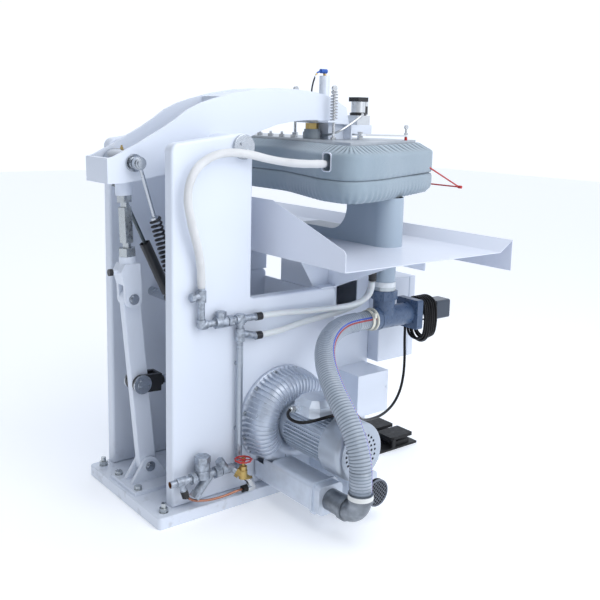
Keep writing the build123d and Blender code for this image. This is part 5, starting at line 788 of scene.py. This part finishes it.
# Unions at the upper ends of both hoses to the buck: a collared body and a hexagon nut
UNION_BODY = [(0, 0), (0, 12.6), (1.5, 14), (9, 14), (10.5, 12.8), (12, 14), (30, 14), (32, 11.5),
              (40, 11.5), (42, 9), (105, 9), (105, 0)]
UNION_NUT = [(0, 0), (0, 15), (1.5, 16.2), (8.5, 16.2), (10, 15), (10, 0)]
bm = bmesh.new()
for x, y in ((-300, -360), (-228, -424)):
    turned_piece(bm, (x, y, 695), (0, 0, 1), UNION_BODY)
    turned_piece(bm, (x, y, 801), (0, 0, 1), UNION_NUT, 6)
merge_seams(bm)
buck_unions = add_piece("buck_hose_unions", bm, union_black, smooth=False)
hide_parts("buck_hoses")
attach(buck_unions, "frame")

# Gland where the motor cable leaves the terminal box: a hexagon and a domed cap
GLAND_HEXAGON = [(0, 0), (0, 11.6), (1, 12.4), (8, 12.4), (9, 11.6), (9, 0)]
GLAND_CAP = [(0, 5.2), (0, 9.6), (6, 9.6), (9, 8.6), (12, 6.2), (12, 5.2), (0, 5.2)]
bm = bmesh.new()
turned_piece(bm, (-445, 87, 366), (0, 1, 0), GLAND_HEXAGON, 6)
turned_piece(bm, (-445, 95, 366), (0, 1, 0), GLAND_CAP, 28)
merge_seams(bm)
cable_gland = add_piece("motor_cable_gland", bm, zinc_bolts, smooth=False)
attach(cable_gland, "frame")

# Insulated steam hose: a soft woven sleeve, slightly uneven, bound with tape at both ends
SLEEVE_R = 0.0128
SLEEVE_LEVELS = 150
BULGE_END = 0.052
TAPE_END = 0.024
TAPE_PITCH = 0.006


def sleeve_profile(length):
    """The tape lies in even turns, the sleeve bulges next to it, and its end is cut back."""
    levels = []
    for i in range(SLEEVE_LEVELS + 1):
        distance = length * i / SLEEVE_LEVELS
        radius = SLEEVE_R + 0.0009 * noise.noise((distance * 14, 3.1, 0.7))
        radius += 0.0004 * noise.noise((distance * 60, 1, 2))
        from_end = min(distance, length - distance)
        if from_end < BULGE_END:
            radius += 0.0012 * sin(from_end / BULGE_END * pi) ** 2
        if from_end < TAPE_END:
            radius = SLEEVE_R + 0.0007 * cos(from_end / TAPE_PITCH * 2 * pi)
        if from_end < TAPE_PITCH:
            radius = 0.0116
        levels.append((distance, radius))
    return capped(levels)


INSULATED_ROUTE = [
    (-250, 303, 735), (-250, 303, 778), (-257, 316, 850), (-262, 346, 936), (-262, 362, 1022),
    (-262, 340, 1088), (-262, 294, 1127), (-262, 227, 1146), (-264, 144, 1139), (-272, 71, 1121),
    (-298, 10, 1111), (-330, -45, 1108), (-330, -104, 1108),
]
sleeve_hose, line = tube_along("insulated_steam_hose", INSULATED_ROUTE, sleeve_profile,
                               woven_sleeve)
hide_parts("insulated_hose")
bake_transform(sleeve_hose)

# Blower: a round ring tube on a flange, with thin fins cast all round it, apart from its foot
BLOWER_FOOT = Vector((-229, -25, 258))
TUBE_MIDDLE = (61, 114)
TUBE_R = 42
FIN_RISE = 5.5
FIN_ROOT = 1.5
FIN_HALF_FOOT = 1.7
FIN_HALF_TIP = 0.8
FIN_COUNT = 60
LOWEST_FIN = -0.62
BOLT_CIRCLE_R = 165
FLANGE_BOLT = [(0, 0), (0, 5.4), (7, 5.4), (8, 4.4), (8, 0)]


def ring_arc(radius, first, last, count):
    """Points of the ring tube's section: distances from the plate and radii."""
    points = []
    for i in range(count + 1):
        angle = radians(first + (last - first) * i / count)
        points.append((TUBE_MIDDLE[0] + radius * cos(angle), TUBE_MIDDLE[1] + radius * sin(angle)))
    return points


def bridged_fin(bm, turning):
    """One fin, narrower at its tip: four lines bridged all round and closed at both ends."""
    foot = [(13, 150), (22, 150), (34, 152), (48, 153)]
    foot += ring_arc(TUBE_R - FIN_ROOT, 80, -58, 23)
    tip = [(13, 171.4), (22, 171.2), (34, 169.6), (48, 164.5)]
    tip += ring_arc(TUBE_R + FIN_RISE, 80, -58, 23)
    chains = []
    for points, half in ((foot, -FIN_HALF_FOOT), (tip, -FIN_HALF_TIP),
                         (tip, FIN_HALF_TIP), (foot, FIN_HALF_FOOT)):
        spots = [bm.verts.new((BLOWER_FOOT + turning @ Vector((-distance, radius, half))) * MM)
                 for distance, radius in points]
        chains.append([bm.edges.new(pair) for pair in zip(spots, spots[1:])])
    made = []
    for chain, following in zip(chains, chains[1:] + chains[:1]):
        made += bmesh.ops.bridge_loops(bm, edges=chain + following)["edges"]
    bmesh.ops.holes_fill(bm, edges=made, sides=4)


bm = bmesh.new()
shell = [(0, 0), (0, 172), (13, 172), (14.5, 170), (15, 160), (30, 157)]
shell += ring_arc(TUBE_R, 90, -78, 28)
shell += [(60, 70.5), (57.4, 69.6), (57.4, 14), (50, 14), (50, 107), (7, 107), (7, 0)]
turned_piece(bm, BLOWER_FOOT, (-1, 0, 0), shell, 120)
for i in range(FIN_COUNT):
    angle = 2 * pi * i / FIN_COUNT
    if sin(angle) >= LOWEST_FIN:
        bridged_fin(bm, Matrix.Rotation(angle, 3, "X"))
merge_seams(bm)
blower_ring = add_piece("blower_ring", bm, blower_cast, smooth=False)
for polygon in blower_ring.data.polygons:
    on_tube = polygon.center.x > -0.400 and len(polygon.vertices) == 4
    polygon.use_smooth = on_tube and polygon.area > 4e-5
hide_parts("blower_housing")
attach(blower_ring, "frame")

# Bolts of the flange, in some of the gaps between the fins
bm = bmesh.new()
for i in range(2, FIN_COUNT, 5):
    angle = 2 * pi * (i + 0.5) / FIN_COUNT
    if sin(angle) > LOWEST_FIN:
        reach = Vector((-14, BOLT_CIRCLE_R * cos(angle), BOLT_CIRCLE_R * sin(angle)))
        turned_piece(bm, BLOWER_FOOT + reach, (-1, 0, 0), FLANGE_BOLT, 16)
merge_seams(bm)
flange_bolts = add_piece("blower_flange_bolts", bm, zinc_bolts, smooth=False)
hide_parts("blower_housing")
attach(flange_bolts, "frame")

# Screen of the second silencer: crossing wires in a round rim
SCREEN_MIDDLE = Vector((-612.8, -120, 96))
SCREEN_R = 41
WIRE_R = 1.1
WIRE_PITCH = 9.4
SCREEN_RIM = [(0, 40.5), (0, 44.4), (3, 44.4), (4, 43.4), (4, 40.5), (0, 40.5)]
bm = bmesh.new()
for tilt in (radians(45), radians(-45)):
    way = Vector((0, cos(tilt), sin(tilt)))
    across = Vector((0, -sin(tilt), cos(tilt)))
    for i in range(-4, 5):
        half = (SCREEN_R ** 2 - (WIRE_PITCH * i) ** 2) ** 0.5
        turned_piece(bm, SCREEN_MIDDLE + across * WIRE_PITCH * i - way * half, way,
                     [(0, 0), (0, WIRE_R), (2 * half, WIRE_R), (2 * half, 0)], 6)
turned_piece(bm, SCREEN_MIDDLE + Vector((2.5, 0, 0)), (-1, 0, 0), SCREEN_RIM, 48)
merge_seams(bm)
silencer_screen = add_piece("silencer_screen", bm, screen_wire, smooth=False)
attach(silencer_screen, "frame")

# Handwheel: a knobbed rim on five waisted spokes, round the valve's stem
WHEEL_MIDDLE = Vector((-294, 172, 167))
RIM_R = 26.2
RIM_HALF_WIDTH = 2.8
RIM_HALF_DEPTH = 2.9
RIM_SIDES = 10
RIM_STEPS = 144
KNOBS = 9
KNOB_REACH = 0.7
KNOB_SWELL = 0.25 / RIM_HALF_WIDTH
SPOKE = [(0, 0), (0, 2.4), (9, 1.9), (18.5, 2.3), (18.5, 0)]
STEM_HOLE_R = 4.6
HUB = [(0, STEM_HOLE_R), (0, 8), (1, 8.8), (6, 8.8), (7.5, 6.8), (7.5, STEM_HOLE_R),
       (0, STEM_HOLE_R)]
bm = bmesh.new()
section = []
for j in range(RIM_SIDES + 1):
    angle = 2 * pi * j / RIM_SIDES
    section.append((RIM_HALF_DEPTH * sin(angle), RIM_R + RIM_HALF_WIDTH * cos(angle)))
for vertex in turned_piece(bm, WHEEL_MIDDLE, (0, 0, 1), section, RIM_STEPS):
    across = vertex.co - WHEEL_MIDDLE * MM
    across.z = 0
    knob = cos(KNOBS * atan2(across.y, across.x))
    from_rim = across.length / MM - RIM_R
    move = KNOB_REACH * knob + KNOB_SWELL * knob * from_rim
    vertex.co += across.normalized() * move * MM
for i in range(5):
    angle = 2 * pi * i / 5 + 0.3
    spoke = Vector((cos(angle), sin(angle), 0))
    turned_piece(bm, WHEEL_MIDDLE + spoke * 6.5 - Vector((0, 0, 0.6)), spoke, SPOKE, 12)
turned_piece(bm, WHEEL_MIDDLE - Vector((0, 0, 3.6)), (0, 0, 1), HUB, 28)
merge_seams(bm)
wheel = add_piece("red_handwheel", bm, red_enamel)
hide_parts("handwheel")
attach(wheel, "wheel")

# Return spring: an open coil that shortens as the head rises
SPRING_FOOT = Vector((-110, 300, 660))
SPRING_HEAD = Vector((-110, 436, 1106))
SPRING_R = 16
SPRING_TURNS = 18
SPRING_START = 30
SPRING_LENGTH = 262
spring_way = (SPRING_HEAD - SPRING_FOOT).normalized()
spring_across = Vector((1, 0, 0))
spring_third = spring_way.cross(spring_across)
wire_points = []
for i in range(SPRING_TURNS * TURN_POINTS + 1):
    angle = 2 * pi * i / TURN_POINTS
    spoke = spring_across * cos(angle) + spring_third * sin(angle)
    along = SPRING_START + SPRING_LENGTH * i / (SPRING_TURNS * TURN_POINTS)
    wire_points.append(SPRING_FOOT + spring_way * along + spoke * SPRING_R * COIL_EASE)
wire = smooth_route("return_spring_wire", wire_points)
wire.data.bevel_depth = 0.0036
wire.data.bevel_resolution = 3
wire.data.resolution_u = 3
wire.data.splines[0].resolution_u = 3
wire.data.use_fill_caps = True
return_coil = add_mesh("return_spring_coil", final_mesh(wire), spring_steel, True)
bpy.data.objects.remove(wire)
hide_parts("return_spring")
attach(return_coil, "spring_anchor")
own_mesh(return_coil)

# Padded buck and head, in gathered cloth covers with one shared outline
PRESS_CORNERS = [(700, -218), (40, -218), (-290, -112), (-445, -112), (-415, -280), (-195, -765),
                 (20, -740), (260, -622), (700, -622)]
PRESS_RADII = [150, 300, 200, 60, 400, 90, 200, 300, 150]
EDGE_LENGTH = 0.0048


def press_slab(low_z, high_z):
    """Slab with the rounded outline, its edge cut into short lengths."""
    bm = bmesh.new()
    corners = [bm.verts.new((x * MM, y * MM, low_z * MM)) for x, y in PRESS_CORNERS]
    bm.faces.new(corners)
    offsets = []
    for i, radius in enumerate(PRESS_RADII):
        way_in = corners[i].co - corners[i - 1].co
        way_out = corners[(i + 1) % len(corners)].co - corners[i].co
        offsets.append(radius * MM * tan(way_in.angle(way_out) / 2))
    for corner, offset in zip(corners, offsets):
        bmesh.ops.bevel(bm, geom=[corner], offset=offset, offset_type="OFFSET", segments=14,
                        profile=0.5, affect="VERTICES", material=-1)
    for edge in list(bm.edges):
        cuts = int(edge.calc_length() / EDGE_LENGTH)
        if cuts:
            bmesh.ops.subdivide_edges(bm, edges=[edge], cuts=cuts)
    bmesh.ops.recalc_face_normals(bm, faces=bm.faces)
    bm.faces.ensure_lookup_table()
    if bm.faces[0].normal.z > 0:
        bmesh.ops.reverse_faces(bm, faces=bm.faces)
    wall = bmesh.ops.extrude_face_region(bm, geom=bm.faces[:], use_keep_orig=True)
    raised = [each for each in wall["geom"] if isinstance(each, bmesh.types.BMVert)]
    bmesh.ops.translate(bm, verts=raised, vec=(0, 0, (high_z - low_z) * MM))
    bmesh.ops.recalc_face_normals(bm, faces=bm.faces)
    return bm


def cap_face(bm, upper):
    """The one large face on top or underneath."""
    way = 1 if upper else -1
    large = [face for face in bm.faces if len(face.verts) > 40]
    return max(large, key=lambda face: way * face.calc_center_median().z)


def grow_cap(bm, upper, steps):
    """Draws a cap in ring by ring: each step is how far in and out, in millimetres."""
    for inward, outward in steps:
        bmesh.ops.inset_region(bm, faces=[cap_face(bm, upper)], thickness=inward * MM,
                               depth=outward * MM, use_even_offset=True)


def outline_distances(bm):
    """Finder that gives how far round the outline a point lies, in millimetres."""
    points = [vertex.co.copy() for vertex in cap_face(bm, False).verts]
    finder = kdtree.KDTree(len(points))
    distances = []
    total = 0
    for i, point in enumerate(points):
        finder.insert((point.x, point.y, 0), i)
        distances.append(total)
        total += (points[(i + 1) % len(points)] - point).length * 1000
    finder.balance()
    return lambda co: distances[finder.find((co.x, co.y, 0))[1]]


def near_end(co):
    """1 at the rounded end of the pads nearest the service side."""
    return 1 - smooth_step(co.x * 1000, -330, 40)


def stuffing(co):
    """How far the covers bulge along the nose of that end, in millimetres."""
    return 7 * near_end(co) * smooth_step(-co.y * 1000, 420, 640)


def level_way_out(vertex):
    return Vector((vertex.normal.x, vertex.normal.y, 0))


def sewn_cover(name, bm, around):
    """Maps the cloth round the outline and across it, in metres, and makes the piece."""
    layer = bm.loops.layers.uv.new("UVMap")
    for face in bm.faces:
        for corner in face.loops:
            co = corner.vert.co
            across = co.z + 0.5 * (co.x + co.y) * abs(face.normal.z)
            corner[layer].uv = (around(co) * MM, across)
    bmesh.ops.triangulate(bm, faces=[cap_face(bm, True), cap_face(bm, False)])
    return add_piece(name, bm, pad_cloth)


# Cover of the buck: its hem is gathered under the edge of the table
HEM_Z = 985
GATHER_PITCH = 31
HEM_PITCH = 9.5
bm = press_slab(1025, 1040)
around = outline_distances(bm)
grow_cap(bm, True, [(0.4, 5), (0.6, 3), (1, 3), (2, 3.4), (4, 2.1), (9, 0.3), (30, 0.1)])
grow_cap(bm, False, [(0.2, 4), (0.4, 4), (0.8, 5), (1.4, 6), (2, 6), (3, 5), (4, 5), (2, 3),
                     (1.2, 2), (6.4, 0), (0.4, -18)])
bm.normal_update()
for vertex in bm.verts:
    co = vertex.co
    z = co.z * 1000
    way = level_way_out(vertex)
    on_top = z >= 1056.4
    inside_hem = z > 1002.5 and abs(vertex.normal.z) > 0.9
    if on_top or inside_hem or way.length <= 0.2:
        continue
    distance = around(co)
    strength = 0.35 + 0.65 * near_end(co)
    patch = 0.5 + 0.5 * noise.noise((distance / 210, 0.3, 4.4))
    low = 1 - smooth_step(z, 986, 1046)
    wander = 3.0 * noise.noise((distance / 90, 2.0, z / 90))
    fold = sin(distance / GATHER_PITCH * 2 * pi + wander)
    sharp = (abs(fold) ** 0.7) * (1 if fold > 0 else -1)
    crease = (2.4 + 2.0 * near_end(co)) * low ** 1.4 * strength * patch * sharp
    soft = noise.noise((co.x * 9, co.y * 9, co.z * 14)) * (1 - smooth_step(z, 1040, 1056))
    hem = 0.9 * (1 - smooth_step(z, HEM_Z, HEM_Z + 5)) * sin(distance / HEM_PITCH * 2 * pi)
    bulge = stuffing(co) * smooth_step(z, HEM_Z, HEM_Z + 20)
    vertex.co += way.normalized() * (crease + 1.1 * soft + hem + bulge - 0.6) * MM
buck_cover = sewn_cover("buck_cover", bm, around)
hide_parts("buck_pad")
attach(buck_cover, "frame")

# Cover of the head: pleats drawn in round the platen, and a notch for the steam inlet
PLEAT_DEPTH = 8.5
DRAG_PITCH = 47
bm = press_slab(1085, 1132)
around = outline_distances(bm)
walls = [edge for edge in bm.edges if abs(edge.verts[0].co.z - edge.verts[1].co.z) > 0.02]
bmesh.ops.subdivide_edges(bm, edges=walls, cuts=4, use_grid_fill=True)
grow_cap(bm, True, [(0.5, 3), (1.2, 3), (2.3, 3), (4, 3.2), (5, 2.8), (5, 2.9), (5, 3), (5, 3),
                    (5, 3), (5, 2.9), (5, 2.6), (4, 1.8), (5, 1), (6.6, -1.2), (0.6, -1),
                    (0.2, -37)])
grow_cap(bm, False, [(0.2, 6), (0.4, 7), (0.5, 6), (1.2, 4.5), (3, 3), (6, 1.2), (30, 0.1)])
bm.normal_update()
for vertex in bm.verts:
    co = vertex.co
    z = co.z * 1000
    way = level_way_out(vertex)
    distance = around(co)
    if z > 1131.5:
        wide = (distance - WIDE_PLEATS[0]) / (WIDE_PLEATS[1] - WIDE_PLEATS[0])
        pleats = distance / PLEAT_PITCH - PLEATS_FEWER * min(max(wide, 0), 1)
        valley_share = 1 - abs(sin(pleats * pi)) ** 0.7
        strength = 0.16 + 0.84 * near_end(co) * smooth_step(-co.y * 1000, 120, 260)
        strength *= 0.75 + 0.6 * noise.noise((distance / 60, 5.0, 1.0))
        sunk = PLEAT_DEPTH * smooth_step(z, 1141, 1158) * strength * valley_share
        bulge = stuffing(co) * (1 - smooth_step(z, 1140, 1160)) - 0.6
        vertex.co += Vector((0, 0, -sunk * MM)) + way * bulge * MM
    elif z > 1058.5 and way.length > 0.2:
        soft = noise.noise((co.x * 8, co.y * 8, co.z * 12)) - 0.7
        wander = 2 * noise.noise((distance / 120, 7.0, z / 60))
        drag = 0.8 * sin(distance / DRAG_PITCH * 2 * pi + wander)
        drag *= (1 - smooth_step(z, 1060, 1082)) * (0.3 + 0.7 * near_end(co))
        vertex.co += way.normalized() * (soft + drag + stuffing(co)) * MM
head_cover = sewn_cover("head_cover", bm, around)

# The notch is cut with a rounded bar
NOTCH_MIDDLE = Vector((-0.330, -0.145, 1.1135))
NOTCH_SIZE = (0.040, 0.110, 0.057)
bm = bmesh.new()
bmesh.ops.create_cube(bm, size=1)
bmesh.ops.scale(bm, vec=NOTCH_SIZE, verts=bm.verts)
lengthwise = [edge for edge in bm.edges if edge.calc_length() > 0.1]
bmesh.ops.bevel(bm, geom=lengthwise, offset=0.008, segments=4, profile=0.5, affect="EDGES",
                material=-1)
bmesh.ops.translate(bm, vec=NOTCH_MIDDLE, verts=bm.verts)
notch_bar = add_piece("notch_cutter", bm, pad_cloth)
cut = head_cover.modifiers.new("notch", "BOOLEAN")
cut.operation = "DIFFERENCE"
cut.solver = "EXACT"
cut.object = notch_bar
baked(head_cover)
bpy.data.objects.remove(notch_bar)
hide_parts("head_pad")
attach(head_cover, "head_arm")


# Rim of the notch: a ring round its opening, drawn inwards, out, and back to where it started
def way_from_notch(point):
    return Vector((point.x - NOTCH_MIDDLE.x, 0, point.z - NOTCH_MIDDLE.z)).normalized()


bm = bmesh.new()
ring = []
for x, z, first in ((-338, 1134, 90), (-338, 1093, 180), (-322, 1093, 270), (-322, 1134, 0)):
    for i in range(5):
        angle = radians(first + 22.5 * i)
        point = Vector((x + 12 * cos(angle), -116, z + 8 * sin(angle))) * MM
        ring.append(bm.verts.new(point - way_from_notch(point) * 0.6 * MM))
edges = [bm.edges.new(pair) for pair in zip(ring, ring[1:] + ring[:1])]
for reach, back in ((0, 6.4), (4, 0), (0, -3.9), (-2.2, -2.5), (-1.8, 0)):
    drawn = bmesh.ops.extrude_edge_only(bm, edges=edges)["geom"]
    edges = [each for each in drawn if isinstance(each, bmesh.types.BMEdge)]
    for vertex in [each for each in drawn if isinstance(each, bmesh.types.BMVert)]:
        vertex.co += (way_from_notch(vertex.co) * reach + Vector((0, back, 0))) * MM
merge_seams(bm)
notch_rim = add_piece("notch_rim", bm, frame_enamel, smooth=False)
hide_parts("head_pad")
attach(notch_rim, "head_arm")
